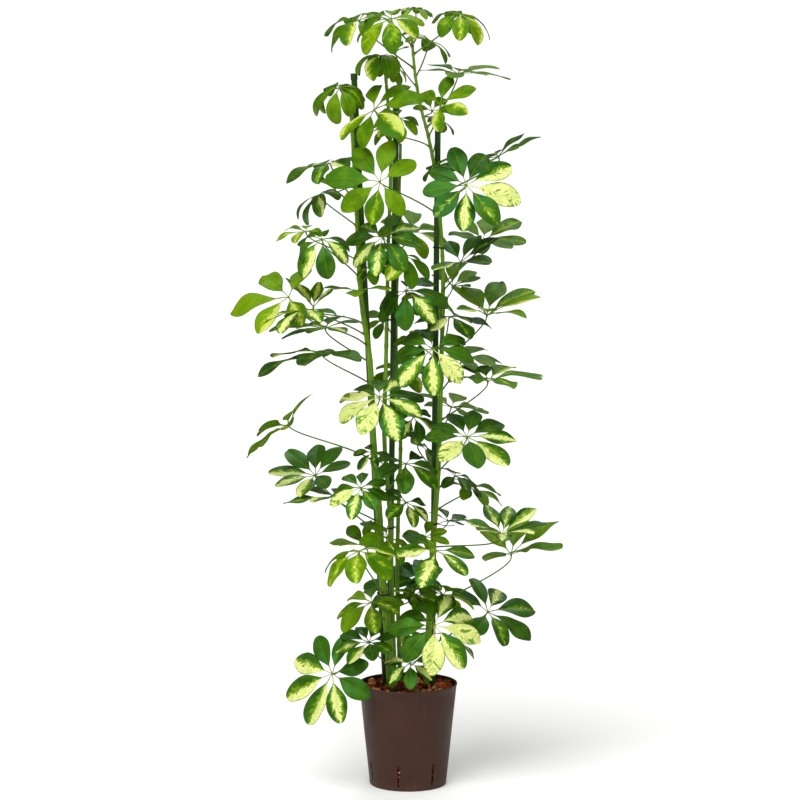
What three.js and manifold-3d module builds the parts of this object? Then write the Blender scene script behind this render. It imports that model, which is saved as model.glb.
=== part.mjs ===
import * as THREE from 'three';
import { mergeVertices } from 'three/addons/utils/BufferGeometryUtils.js';
import Module from 'manifold-3d';

// Umbrella plant in a culture pot of clay granules, held upright by three stakes.
// Millimetres, +Z up, the front is -Y, and the origin is the centre of the pot's underside.

const wasm = await Module();
wasm.setup();

// Driving dimensions
const GAP = 0.3;
const POT = { height: 193, topRadius: 92, baseRadius: 72, wall: 2.2, floor: 3, footBevel: 2, sides: 28 };
const RIM = { height: 5, lip: 0.6 };
const SLITS = { count: 7, width: 6, depth: 30, bottom: 9, height: 40, turn: -13.5 };
const GRANULES = { level: 183, spacing: 14, relief: 4.5, scatter: 1 };
const STAKE = { radius: 5.5, foot: 14, capRadius: 6.4, capHeight: 12, capBevel: 2, sides: 8 };
const STEM = { sides: 8, tip: 4 };
const TIE = { wire: 1.1, slack: 0.35, arcSteps: 4, arc: 169, endLength: 34, endSides: 4 };
const PETIOLE = { radius: 1.65, rise: 35, sunk: 1.5, leaving: 0.3, arriving: 0.14 };
const HUB = { radius: 3.4, rise: 1.4, neck: 4 };
const BLADE = {
  thickness: 0.7, width: 0.44, fill: 0.86, widest: 0.55, shoulder: 0.85, shoulderWidth: 0.74,
};
const LEAFLET_STEP = { 5: 56, 6: 50, 7: 45, 8: 42, 9: 40 };
const VARIETY = {
  angle: 1.5, shorter: 0.28, length: 0.05, alternate: 3, rise: 2, droop: 0.15, roll: 8,
};
const CLEARANCE = 0.3;
const DEPTH_STEP = 6;
const MOST_STEPS = 60;

// Finishes: colour, roughness and metalness
const FINISH = {
  pot: finish(0x48322b, 0.55),
  granules: finish(0x9a4a28, 0.95),
  stake: finish(0x24501a, 0.5),
  tie: finish(0x1c3a16, 0.6),
  stem: finish(0x5f7d1c, 0.6),
  green: finish(0x2c6a28, 0.4),
  cream: finish(0x8fb83e, 0.4),
  young: finish(0xa5c828, 0.4),
};

// Foot and head of each stake: x, y, z
const STAKES = {
  left: [[-34, 8, STAKE.foot], [-100, 12, 1331]],
  middle: [[-38, 34, STAKE.foot], [-22, 10, 1269]],
  right: [[44, 22, STAKE.foot], [55, 12, 1243]],
};

// Centre line of each stem, from its foot in the granules to its tip: x, y, z
const STEMS = {
  left: {
    radius: [8.4, 3],
    line: [
      [-30, -14, 90], [-32, -13, 180], [-38, -11, 290], [-47, -6, 380], [-54, -4, 510],
      [-65, -3, 660], [-71, -3, 800], [-86, -2, 910], [-96, 0, 1100], [-107, 3, 1290],
    ],
  },
  middle: {
    radius: [5.2, 2.8],
    line: [
      [-22, 10, 90], [-25, 12, 180], [-31, 15, 380], [-34, 13, 510], [-44, 9, 650],
      [-41, 4, 800], [-37, 0, 1000], [-33, -5, 1215], [-42, -7, 1335],
    ],
  },
  slender: {
    radius: [4.4, 2.6],
    line: [
      [-14, 44, 90], [-15, 43, 180], [-20, 42, 425], [-18, 40, 510], [-14, 38, 650],
      [-22, 33, 810], [-18, 28, 1035], [-14, 22, 1200],
    ],
  },
  right: {
    radius: [6.3, 2.4],
    line: [
      [30, 2, 90], [34, 2, 180], [46, 7, 440], [56, 4, 590], [61, 1, 760], [62, -1, 1025],
      [48, -4, 1160], [37, -6, 1216], [23, -8, 1270], [14, -10, 1320], [7, -12, 1390],
    ],
  },
};

// Each tie holds a stem to a stake at one height; one has the twisted ends of its wire standing out.
const TIES = [
  { name: 'left_tie', stem: 'left', stake: 'left', z: 361 },
  { name: 'lower_middle_tie', stem: 'middle', stake: 'middle', z: 484 },
  { name: 'upper_middle_tie', stem: 'middle', stake: 'middle', z: 876 },
  { name: 'lower_right_tie', stem: 'right', stake: 'right', z: 493, ends: [14, -4] },
  { name: 'upper_right_tie', stem: 'right', stake: 'right', z: 1010 },
];

// Leaves at each stem's growing tip and close in among the stems, one piece with their stem.
// A row holds the height where the leaf grows from its stem, its hub x, y, z, the way its upper face looks
// (degrees to the right of the front, and above level), the length of its longest leaflet, the number of
// leaflets, the rise of their midribs at the hub and their droop from there to the tip in degrees, and the
// colour.
const STEM_LEAVES = {
  right: [
    [1386, 14, -12, 1446, 20, 78, 46, 7, 15, 75, 'young'],
    [1366, 92, -20, 1438, 30, 72, 84, 7, 6, 82, 'young'],
    [1380, -31, -44, 1428, -22, 58, 90, 7, 15, 82, 'young'],
    [1340, -90, -10, 1427, -40, 66, 89, 7, 18, 82, 'young'],
    [1306, -22, 30, 1372, 40, 75, 38, 5, 40, 30, 'young'],
    [1326, 42, 32, 1390, 70, 62, 70, 5, 10, 65, 'young'],
    [1232, 92, 26, 1331, 30, 84, 104, 7, 14, 24, 'young'],
    [1216, 58, -52, 1274, -26, 40, 76, 5, 14, 32, 'young'],
    [1110, 50, 36, 1161, -60, 60, 52, 6, 10, 50, 'green'],
    [1180, 64, 34, 1243, 100, 60, 46, 6, 10, 60, 'green'],
    [900, 84, 20, 936, 25, 70, 66, 6, 34, 20, 'young'],
    [590, 22, 40, 642, 100, 40, 84, 6, 15, 45, 'green'],
    [560, 88, 16, 584, 60, 65, 66, 6, 10, 50, 'green'],
    [242, 4, -74, 244, -10, 55, 62, 6, 15, 50, 'cream'],
    [1196, -33, -46, 1229, -30, 65, 46, 5, 20, 75, 'young'],
    [1250, 44, 20, 1262, 10, 40, 48, 5, 25, 60, 'young'],
    [800, 20, 40, 836, -20, 50, 56, 5, 15, 50, 'young'],
  ],
  middle: [
    [1330, -50, -18, 1362, -20, 82, 73, 8, 20, 126, 'young'],
    [1320, -37, -38, 1343, 30, 70, 60, 6, 10, 100, 'young'],
    [1000, -46, -64, 1033, -15, 45, 92, 8, 8, 45, 'cream'],
    [1206, -62, -34, 1264, -42, 44, 104, 6, 8, 34, 'young'],
    [600, -66, -34, 633, -20, 50, 46, 5, 10, 50, 'green'],
    [448, -37, -44, 477, 50, 50, 74, 6, 15, 60, 'young'],
  ],
  left: [
    [1280, -125, -6, 1304, -20, 62, 82, 8, 10, 110, 'young'],
    [1100, -143, -20, 1166, -65, 74, 92, 7, 14, 48, 'cream'],
    [1050, -165, 34, 1107, -60, 62, 78, 6, 5, 78, 'green'],
    [985, -188, -34, 1041, -50, 72, 62, 5, 25, 60, 'young'],
    [1120, -134, -50, 1119, -30, 76, 56, 5, 44, 14, 'young'],
    [945, -67, -30, 980, -20, 65, 56, 5, 10, 75, 'young'],
  ],
  slender: [
    [1180, -17, -60, 1249, 10, 50, 60, 7, 10, 65, 'young'],
    [1000, 7, 60, 1037, 20, 55, 88, 6, 10, 45, 'young'],
    [880, 34, 76, 915, 150, 60, 70, 6, 10, 50, 'green'],
    [740, -14, 88, 775, 180, 55, 74, 6, 10, 50, 'green'],
    [325, -19, 60, 362, 0, 45, 84, 6, 5, 40, 'green'],
    [235, -14, 86, 275, 170, 60, 64, 6, 10, 50, 'green'],
    [835, -41, 50, 872, -10, 55, 62, 6, 10, 60, 'young'],
  ],
};

// Leaves along the stems, in rows of the same form with the stem first
const LEAVES = [
  ['right', 1085, 105, -92, 1128, 2, 32, 104, 9, 5, 25, 'cream'],
  ['right', 1105, 167, 34, 1178, -80, 62, 92, 6, 10, 15, 'green'],
  ['right', 1070, -51, -72, 1135, -8, 22, 100, 7, 5, 25, 'young'],
  ['slender', 950, -8, -72, 1000, 35, 55, 78, 7, 5, 50, 'young'],
  ['right', 930, 96, -44, 986, -30, 64, 86, 6, 26, 24, 'green'],
  ['right', 945, 140, 10, 1022, 10, 66, 92, 7, 22, 32, 'young'],
  ['left', 955, -156, -134, 1032, -14, 52, 86, 7, 5, 86, 'cream'],
  ['left', 850, -220, -44, 922, -35, 52, 118, 5, 16, 34, 'young'],
  ['left', 830, -189, -88, 905, -70, 78, 84, 5, 8, 45, 'cream'],
  ['left', 870, -177, 40, 898, 170, 80, 76, 6, 48, 10, 'cream'],
  ['left', 890, -90, -74, 936, -10, 86, 85, 5, 10, 14, 'young'],
  ['left', 800, -154, 10, 860, -60, 80, 106, 7, 14, 28, 'cream'],
  ['left', 760, -160, -36, 820, -74, 82, 134, 5, 6, 26, 'cream'],
  ['slender', 880, -4, -60, 935, -15, 52, 92, 7, 2, 62, 'green'],
  ['right', 775, 45, -94, 830, -5, 42, 98, 8, 10, 65, 'cream'],
  ['right', 830, 76, -20, 884, 40, 78, 90, 5, 10, 42, 'cream'],
  ['right', 800, 146, -24, 885, 20, 74, 112, 8, 38, 35, 'young'],
  ['right', 745, 101, 52, 801, 30, 78, 89, 7, 14, 30, 'young'],
  ['right', 690, 148, -14, 763, 20, 82, 114, 8, 28, 42, 'young'],
  ['right', 655, 82, 74, 706, 60, 74, 84, 7, 16, 30, 'young'],
  ['left', 700, -53, -92, 742, -6, 58, 102, 9, 8, 45, 'cream'],
  ['right', 595, 108, -82, 667, 14, 58, 102, 9, 14, 28, 'cream'],
  ['left', 615, -222, -34, 683, -104, 46, 108, 6, 22, 34, 'young'],
  ['middle', 462, -174, 30, 581, -25, 60, 94, 8, 24, 28, 'cream'],
  ['left', 525, -87, -82, 573, -10, 52, 70, 8, 12, 50, 'cream'],
  ['left', 500, -134, -20, 550, -60, 82, 104, 5, 8, 10, 'green'],
  ['slender', 655, 10, -54, 702, 20, 45, 59, 6, 10, 60, 'cream'],
  ['middle', 560, -4, -44, 616, 20, 60, 82, 6, 15, 55, 'green'],
  ['right', 520, 114, 16, 557, 60, 72, 78, 7, 15, 50, 'young'],
  ['middle', 500, -4, -70, 544, 40, 50, 66, 6, 15, 45, 'green'],
  ['slender', 425, 172, -64, 488, 10, 72, 95, 8, 34, 24, 'cream'],
  ['right', 335, 192, -24, 440, -30, 76, 119, 6, 30, 30, 'young'],
  ['right', 470, 76, 60, 494, 70, 75, 57, 5, 20, 20, 'cream'],
  ['slender', 430, 31, -40, 475, 20, 55, 53, 6, 30, 40, 'young'],
  ['right', 350, 21, 60, 381, 0, 40, 66, 6, 5, 45, 'green'],
  ['left', 365, -90, -152, 467, -50, 74, 100, 7, 8, 66, 'young'],
  ['left', 410, -80, -22, 456, -60, 60, 70, 5, 40, 20, 'young'],
  ['right', 385, 52, -60, 459, 22, 60, 98, 5, 12, 36, 'cream'],
  ['middle', 330, 12, 88, 362, 170, 50, 68, 7, 10, 50, 'green'],
  ['left', 315, -68, -40, 353, -30, 62, 86, 7, 15, 55, 'young'],
  ['right', 310, 66, 0, 366, 140, 60, 76, 7, 15, 45, 'young'],
  ['right', 262, 150, -24, 327, 40, 50, 104, 7, 14, 34, 'green'],
  ['slender', 275, 48, -102, 323, 8, 40, 104, 9, 8, 50, 'cream'],
  ['right', 235, 92, 52, 262, 110, 60, 57, 6, 10, 50, 'green'],
  ['left', 232, -73, -30, 281, -20, 62, 71, 8, 18, 38, 'green'],
  ['left', 262, -141, -62, 222, -30, 26, 106, 8, 5, 20, 'green'],
];

function finish(color, roughness, metalness = 0) {
  return new THREE.MeshStandardMaterial({ color, roughness, metalness, flatShading: true });
}

// A repeatable run of draws between 0 and 1
function draws(seed) {
  let state = seed;
  return () => {
    state = (state * 1664525 + 1013904223) % 4294967296;
    return state / 4294967296;
  };
}

// A closed surface built ring by ring. Rings run anticlockwise about the way they travel.
class Surface {
  points = [];
  faces = [];

  point(p) {
    this.points.push(p.x, p.y, p.z);
    return this.points.length / 3 - 1;
  }

  ring(points) {
    return points.map((p) => this.point(p));
  }

  quad(a, b, c, d) {
    this.faces.push(a, b, c, a, c, d);
  }

  join(from, to) {
    from.forEach((_, i) => {
      const j = (i + 1) % from.length;
      this.quad(from[i], from[j], to[j], to[i]);
    });
  }

  // Joins rings of unequal counts; shares are each point's part of a full turn, from a common start.
  zip(from, to, fromShare, toShare) {
    let i = 0;
    let j = 0;
    while (i < from.length || j < to.length) {
      const a = from[i % from.length];
      const b = to[j % to.length];
      const nextFrom = i < from.length ? (fromShare[i + 1] ?? 1) : Infinity;
      const nextTo = j < to.length ? (toShare[j + 1] ?? 1) : Infinity;
      if (nextFrom <= nextTo) {
        i += 1;
        this.faces.push(a, from[i % from.length], b);
      } else {
        j += 1;
        this.faces.push(a, to[j % to.length], b);
      }
    }
  }

  // Closes the end of a run on one point.
  close(ring, apex) {
    const tip = this.point(apex);
    ring.forEach((a, i) => this.faces.push(a, ring[(i + 1) % ring.length], tip));
  }

  // Closes the start of a run with a flat face.
  start(ring) {
    for (let i = 1; i + 1 < ring.length; i++) this.faces.push(ring[0], ring[i + 1], ring[i]);
  }

  geometry() {
    const made = new THREE.BufferGeometry();
    made.setAttribute('position', new THREE.Float32BufferAttribute(this.points, 3));
    made.setIndex(this.faces);
    return made;
  }
}

// Closed geometry as a solid for joining and cutting, and back
function solid(geometry) {
  const bare = geometry.clone();
  bare.deleteAttribute('normal');
  bare.deleteAttribute('uv');
  const merged = mergeVertices(bare, 1e-3);
  return new wasm.Manifold(new wasm.Mesh({
    numProp: 3,
    vertProperties: merged.attributes.position.array,
    triVerts: new Uint32Array(merged.index.array),
  }));
}

function shape(made) {
  const { vertProperties, triVerts } = made.getMesh();
  const geometry = new THREE.BufferGeometry();
  geometry.setAttribute('position', new THREE.Float32BufferAttribute(vertProperties, 3));
  geometry.setIndex(new THREE.BufferAttribute(triVerts, 1));
  return geometry;
}

function piece(name, geometry, material) {
  const mesh = new THREE.Mesh(geometry, material);
  mesh.name = name;
  mesh.geometry.computeVertexNormals();
  return mesh;
}

// Points of a level circle, the first at the front
function circle(x, y, z, radius, count) {
  return Array.from({ length: count }, (_, k) => {
    const angle = (2 * Math.PI * k) / count - Math.PI / 2;
    return new THREE.Vector3(x + radius * Math.cos(angle), y + radius * Math.sin(angle), z);
  });
}

// A direction given by degrees to the right of the front and degrees above level
function direction(turn, tilt) {
  const a = THREE.MathUtils.degToRad(turn);
  const b = THREE.MathUtils.degToRad(tilt);
  return new THREE.Vector3(Math.sin(a) * Math.cos(b), -Math.cos(a) * Math.cos(b), Math.sin(b));
}

// Pot: a plain tapering wall with a plain rim, a flat floor and drain slits round its foot
function potRadius(z) {
  return POT.baseRadius + ((POT.topRadius - POT.baseRadius) * z) / POT.height;
}

function makePot() {
  const profile = [
    [0, 0],
    [POT.baseRadius - POT.footBevel, 0],
    [potRadius(POT.footBevel), POT.footBevel],
    [potRadius(POT.height - RIM.height), POT.height - RIM.height],
    [POT.topRadius + RIM.lip, POT.height - RIM.height + 1],
    [POT.topRadius + RIM.lip, POT.height],
    [POT.topRadius - POT.wall, POT.height],
    [potRadius(POT.floor) - POT.wall, POT.floor],
    [0, POT.floor],
  ].map(([r, z]) => new THREE.Vector2(r, z));
  let body = solid(new THREE.LatheGeometry(profile, POT.sides).rotateX(Math.PI / 2));
  for (let k = 0; k < SLITS.count; k++) {
    const slit = new THREE.BoxGeometry(SLITS.width, SLITS.depth, SLITS.height);
    slit.translate(0, -potRadius(SLITS.bottom), SLITS.bottom + SLITS.height / 2);
    slit.rotateZ(THREE.MathUtils.degToRad(SLITS.turn) + (2 * Math.PI * k) / SLITS.count);
    body = body.subtract(solid(slit));
  }
  return piece('pot', shape(body), FINISH.pot);
}

// Clay granules: they fill the pot, and their top is a relief of pebbles. Stems and stakes stand in plain
// holes.
function makeGranules(holes) {
  const random = draws(11);
  const surface = new Surface();
  const wallRadius = (z) => potRadius(z) - POT.wall - GAP;
  const bottom = POT.floor + GAP;
  const edge = GRANULES.level - GRANULES.relief;
  const low = surface.ring(circle(0, 0, bottom, wallRadius(bottom), POT.sides));
  let outer = surface.ring(circle(0, 0, edge, wallRadius(edge), POT.sides));
  surface.start(low);
  surface.join(low, outer);
  const shares = (count) => Array.from({ length: count }, (_, k) => k / count);
  const rings = Math.floor(wallRadius(edge) / GRANULES.spacing) - 1;
  for (let k = rings; k > 0; k--) {
    const count = 6 * k;
    const points = circle(0, 0, GRANULES.level, k * GRANULES.spacing, count);
    points.forEach((p) => {
      p.z += GRANULES.relief * (Math.round(random() * 2) - 1);
      p.x += GRANULES.scatter * (random() * 2 - 1);
      p.y += GRANULES.scatter * (random() * 2 - 1);
    });
    const inner = surface.ring(points);
    surface.zip(outer, inner, shares(outer.length), shares(count));
    outer = inner;
  }
  surface.close(outer, new THREE.Vector3(0, 0, GRANULES.level + GRANULES.relief));
  const filled = holes.reduce((body, hole) => body.subtract(hole), solid(surface.geometry()));
  return piece('clay_granules', shape(filled), FINISH.granules);
}

// Stakes: coated rods, each with a round-shouldered cap on its head
function stakeMesh(name, extra = 0) {
  const [foot, head] = STAKES[name].map((p) => new THREE.Vector3(...p));
  const length = foot.distanceTo(head);
  const profile = [
    [0, -extra],
    [STAKE.radius + extra, -extra],
    [STAKE.radius + extra, length - STAKE.capHeight],
    [STAKE.capRadius + extra, length - STAKE.capHeight],
    [STAKE.capRadius + extra, length - STAKE.capBevel],
    [STAKE.capRadius - STAKE.capBevel, length],
    [0, length],
  ].map(([r, z]) => new THREE.Vector2(r, z));
  const geometry = new THREE.LatheGeometry(profile, STAKE.sides).rotateX(Math.PI / 2);
  const mesh = piece(name + '_stake', geometry, FINISH.stake);
  mesh.position.copy(foot);
  mesh.quaternion.setFromUnitVectors(new THREE.Vector3(0, 0, 1), head.sub(foot).normalize());
  return mesh;
}

function worldSolid(mesh) {
  mesh.updateMatrixWorld();
  return solid(mesh.geometry.clone().applyMatrix4(mesh.matrixWorld));
}

// Stems: each tapers along its centre line
function along(line, z) {
  const k = Math.max(1, line.findIndex((p, i) => i > 0 && p[2] >= z));
  const [a, b] = [line[k - 1], line[k]];
  const t = (z - a[2]) / (b[2] - a[2]);
  return new THREE.Vector3(a[0] + t * (b[0] - a[0]), a[1] + t * (b[1] - a[1]), z);
}

function stemRadius(name, z) {
  const { radius, line } = STEMS[name];
  const t = (z - line[0][2]) / (line[line.length - 1][2] - line[0][2]);
  return radius[0] + (radius[1] - radius[0]) * t;
}

function stemGeometry(name, extra = 0) {
  const { line } = STEMS[name];
  const surface = new Surface();
  let last = null;
  line.forEach(([x, y, z]) => {
    const ring = surface.ring(circle(x, y, z - extra, stemRadius(name, z) + extra, STEM.sides));
    if (last) surface.join(last, ring);
    else surface.start(ring);
    last = ring;
  });
  const [x, y, z] = line[line.length - 1];
  surface.close(last, new THREE.Vector3(x, y, z + STEM.tip));
  return surface.geometry();
}

// Ties: a wire loop round a stem and a stake, close to both
function loopPoints(centres, reach) {
  const [a, b] = centres;
  const heading = Math.atan2(b.y - a.y, b.x - a.x);
  const arc = (centre, radius, middle) => Array.from({ length: TIE.arcSteps }, (_, k) => {
    const angle = middle + THREE.MathUtils.degToRad(TIE.arc) * (k / (TIE.arcSteps - 1) - 0.5);
    return new THREE.Vector3(
      centre.x + radius * Math.cos(angle), centre.y + radius * Math.sin(angle), centre.z);
  });
  return [...arc(a, reach[0], heading + Math.PI), ...arc(b, reach[1], heading)];
}

function makeTie({ name, stem, stake, z, ends }) {
  const [foot, head] = STAKES[stake];
  const stemCentre = along(STEMS[stem].line, z);
  const stakeCentre = along([foot, head], z);
  const round = 1 / Math.cos(Math.PI / (2 * TIE.arcSteps - 2));
  const reach = [stemRadius(stem, z), STAKE.radius].map(
    (r) => (r + TIE.slack) * round + TIE.wire * Math.SQRT2);
  const centres = loopPoints([stemCentre, stakeCentre], reach);
  const surface = new Surface();
  const rings = centres.map((c, k) => {
    const before = centres.at(k - 1);
    const after = centres[(k + 1) % centres.length];
    const out = new THREE.Vector3().subVectors(after, before).normalize().cross(new THREE.Vector3(0, 0, 1));
    return surface.ring([[1, 0], [0, -1], [-1, 0], [0, 1]].map(([h, v]) => c.clone()
      .addScaledVector(out, h * TIE.wire * Math.SQRT2)
      .add(new THREE.Vector3(0, 0, v * TIE.wire * Math.SQRT2))));
  });
  rings.forEach((ring, k) => surface.join(ring, rings[(k + 1) % rings.length]));
  let body = solid(surface.geometry());
  (ends ?? []).forEach((tilt) => {
    const end = new THREE.CylinderGeometry(TIE.wire, TIE.wire, TIE.endLength, TIE.endSides);
    end.rotateZ(-Math.PI / 2).translate(TIE.endLength / 2, 0, 0).rotateY(-THREE.MathUtils.degToRad(tilt));
    const corner = centres.reduce((best, c) => (c.x > best.x ? c : best));
    end.translate(corner.x - TIE.wire / 2, corner.y, corner.z);
    body = body.add(solid(end));
  });
  return piece(name, shape(body), FINISH.tie);
}

// Leaves: a petiole from the stem to a hub, and leaflets fanned round the hub like the ribs of an umbrella
function readLeaf([stem, base, x, y, z, turn, tilt, length, count, rise, droop, colour], fused) {
  const leaf = { stem, base, turn, tilt, length, count, rise, droop, colour, fused };
  leaf.hub = new THREE.Vector3(x, y, z);
  leaf.seed = Math.abs(Math.round(7 * x + 13 * z)) + count;
  return leaf;
}

// The midrib is an arc that leaves the hub at its rise and bends down by its droop.
function midrib(length, rise, droop) {
  const a = THREE.MathUtils.degToRad(rise);
  const d = THREE.MathUtils.degToRad(droop);
  return (s) => ({
    out: (length * (Math.sin(a) - Math.sin(a - d * s))) / d,
    up: (length * (Math.cos(a - d * s) - Math.cos(a))) / d,
    angle: a - d * s,
  });
}

// Leaflets of a leaf: the angle, midrib and size of each, drawn the same way each time. Fewer leaflets leave
// a wider gap on the side of the petiole, and those next to the gap are shorter.
function leaflets(leaf) {
  const random = draws(leaf.seed);
  const either = () => random() * 2 - 1;
  const step = LEAFLET_STEP[leaf.count];
  return Array.from({ length: leaf.count }, (_, i) => {
    const place = i - (leaf.count - 1) / 2;
    const angle = place * step + VARIETY.angle * either();
    const share = 1 - (VARIETY.shorter * Math.abs(place) * 2) / leaf.count;
    const length = leaf.length * share * (1 + VARIETY.length * either());
    const rise = leaf.rise + (i % 2 ? 1 : -1) * VARIETY.alternate + VARIETY.rise * either();
    const droop = leaf.droop * (1 + VARIETY.droop * either());
    const roll = VARIETY.roll * either();
    return { angle, length, rise, droop, roll, step };
  });
}

function leafGeometry(leaf, shift, extra = 0) {
  const hub = leaf.hub.clone().add(new THREE.Vector3(0, shift, 0));
  const up = direction(leaf.turn, leaf.tilt);
  const stemCentre = along(STEMS[leaf.stem].line, leaf.base);
  const level = hub.clone().sub(stemCentre).setZ(0).normalize();
  const seat = leaf.fused ? PETIOLE.sunk : stemRadius(leaf.stem, leaf.base) + GAP;
  const foot = stemCentre.clone().addScaledVector(level, seat);
  const forward = hub.clone().sub(foot).projectOnPlane(up).normalize();
  const across = up.clone().cross(forward);
  const around = (degrees) => {
    const a = THREE.MathUtils.degToRad(degrees);
    return forward.clone().multiplyScalar(Math.cos(a)).addScaledVector(across, Math.sin(a));
  };

  // Hub corners lie between neighbouring leaflets.
  const parts = leaflets(leaf);
  const surface = new Surface();
  const corners = parts.map((part, i) => {
    const before = i ? parts[i - 1].angle : parts.at(-1).angle - 360;
    return (before + part.angle) / 2;
  });
  const half = BLADE.thickness / 2 + extra;
  const layer = (offset) => surface.ring(corners.map((angle) => hub.clone()
    .addScaledVector(around(angle), HUB.radius).addScaledVector(up, offset)));
  const under = layer(-half);
  const over = layer(half);
  surface.close(over, hub.clone().addScaledVector(up, HUB.rise + extra));

  // Petiole: it rises from the stem and bends into the hub from below.
  const neck = hub.clone().addScaledVector(up, -HUB.neck);
  const reach = foot.distanceTo(neck);
  const lift = THREE.MathUtils.degToRad(PETIOLE.rise);
  const leave = level.clone().multiplyScalar(Math.cos(lift)).setZ(Math.sin(lift));
  const path = new THREE.CubicBezierCurve3(
    foot,
    foot.clone().addScaledVector(leave, reach * PETIOLE.leaving),
    neck.clone().addScaledVector(up, -reach * PETIOLE.arriving),
    neck,
  );
  let last = null;
  [level, path.getTangent(0.5), up].forEach((heading, k) => {
    const turned = new THREE.Quaternion().setFromUnitVectors(up, heading);
    const centre = path.getPoint(k / 2);
    const ring = surface.ring([0, 90, 180, 270].map((degrees) => centre.clone().addScaledVector(
      around(corners[0] + degrees).applyQuaternion(turned), PETIOLE.radius + extra)));
    if (last) surface.join(last, ring);
    else surface.start(ring);
    last = ring;
  });
  surface.zip(last, under, [0, 0.25, 0.5, 0.75], corners.map((angle) => (angle - corners[0]) / 360));

  // Blades: each grows out of its side of the hub and never reaches over its neighbours.
  parts.forEach((part, i) => {
    const j = (i + 1) % parts.length;
    const rib = midrib(part.length, part.rise, part.droop);
    const ray = around(part.angle);
    const side = up.clone().cross(ray);
    const section = (s, width) => {
      const { out, up: height, angle } = rib(s);
      const free = 2 * out * Math.tan(THREE.MathUtils.degToRad(part.step / 2)) * BLADE.fill;
      const wide = Math.min(part.length * BLADE.width * width, Math.max(free, 0)) / 2 + extra;
      const roll = THREE.MathUtils.degToRad(part.roll * s);
      const normal = ray.clone().multiplyScalar(-Math.sin(angle)).addScaledVector(up, Math.cos(angle));
      const lateral = side.clone().multiplyScalar(Math.cos(roll)).addScaledVector(normal, Math.sin(roll));
      normal.multiplyScalar(Math.cos(roll)).addScaledVector(side, -Math.sin(roll));
      const centre = hub.clone().addScaledVector(ray, out).addScaledVector(up, height);
      return [[-wide, -half], [wide, -half], [wide, half], [-wide, half]].map(
        ([w, h]) => centre.clone().addScaledVector(lateral, w).addScaledVector(normal, h));
    };
    const root = [under[i], under[j], over[j], over[i]];
    const middle = surface.ring(section(BLADE.widest, 1));
    const shoulder = surface.ring(section(BLADE.shoulder, BLADE.shoulderWidth));
    surface.join(root, middle);
    surface.join(middle, shoulder);
    const end = section(1, 0);
    const low = surface.point(end[0].lerp(end[1], 0.5));
    const top = surface.point(end[2].lerp(end[3], 0.5));
    surface.faces.push(shoulder[0], shoulder[1], low);
    surface.quad(shoulder[1], shoulder[2], top, low);
    surface.faces.push(shoulder[2], shoulder[3], top);
    surface.quad(shoulder[3], shoulder[0], low, top);
  });
  return surface.geometry();
}

// Leaves grow into free space: each keeps its place as seen from the front and steps back and forth in depth
// until it stands clear of all that is there already.
function clearShift(leaf, taken) {
  for (let k = 0; k <= MOST_STEPS; k++) {
    const shift = (k % 2 ? 1 : -1) * Math.ceil(k / 2) * DEPTH_STEP;
    const geometry = leafGeometry(leaf, shift, CLEARANCE);
    geometry.computeBoundingBox();
    const near = taken.filter((other) => other.owner !== leaf.stem || !leaf.fused)
      .filter((other) => other.box.intersectsBox(geometry.boundingBox));
    const room = solid(geometry);
    if (!near.some((other) => room.intersect(other.body).volume() > 0)) return shift;
  }
  throw new Error('no clear place for the leaf at ' + leaf.hub.toArray());
}

function taking(body, owner) {
  const { min, max } = body.boundingBox();
  const box = new THREE.Box3(new THREE.Vector3(...min), new THREE.Vector3(...max));
  return { body, box, owner };
}

const plant = new THREE.Group();
const pot = makePot();
const stakes = Object.keys(STAKES).map((name) => stakeMesh(name));
const ties = TIES.map(makeTie);
const stemNames = Object.keys(STEMS);
const granules = makeGranules([
  ...Object.keys(STAKES).map((name) => worldSolid(stakeMesh(name, GAP))),
  ...stemNames.map((name) => solid(stemGeometry(name, GAP))),
]);
plant.add(pot, granules, ...stakes, ...ties);

const taken = [pot, granules, ...stakes, ...ties].map((mesh) => taking(worldSolid(mesh)));
stemNames.forEach((name) => taken.push(taking(solid(stemGeometry(name)), name)));

function place(leaf) {
  const shift = clearShift(leaf, taken);
  const body = solid(leafGeometry(leaf, shift));
  taken.push(taking(body));
  return { body, shift };
}

for (const name of stemNames) {
  const bare = solid(stemGeometry(name));
  const whole = STEM_LEAVES[name].reduce(
    (body, row) => body.add(place(readLeaf([name, ...row], true)).body), bare);
  plant.add(piece(name + '_stem', shape(whole), FINISH.stem));
}

const counts = {};
for (const row of LEAVES) {
  const leaf = readLeaf(row, false);
  const { shift } = place(leaf);
  counts[leaf.stem] = (counts[leaf.stem] ?? 0) + 1;
  const geometry = leafGeometry(leaf, shift).translate(-leaf.hub.x, -leaf.hub.y - shift, -leaf.hub.z);
  const mesh = piece(leaf.stem + '_leaf_' + counts[leaf.stem], geometry, FINISH[leaf.colour]);
  mesh.position.set(leaf.hub.x, leaf.hub.y + shift, leaf.hub.z);
  plant.add(mesh);
}

export default plant;
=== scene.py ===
"""The finished look of a potted umbrella plant: pot, clay granules, stakes, stems, ties and leaves.

Sizes are in millimetres and become metres where a mesh is made. +Z is up and the front is -Y.
"""
import sys

import functools
import logging
import math
import random
from dataclasses import dataclass
from enum import Enum

import bmesh
import bpy
import numpy as np
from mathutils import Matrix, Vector, kdtree, noise


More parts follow.
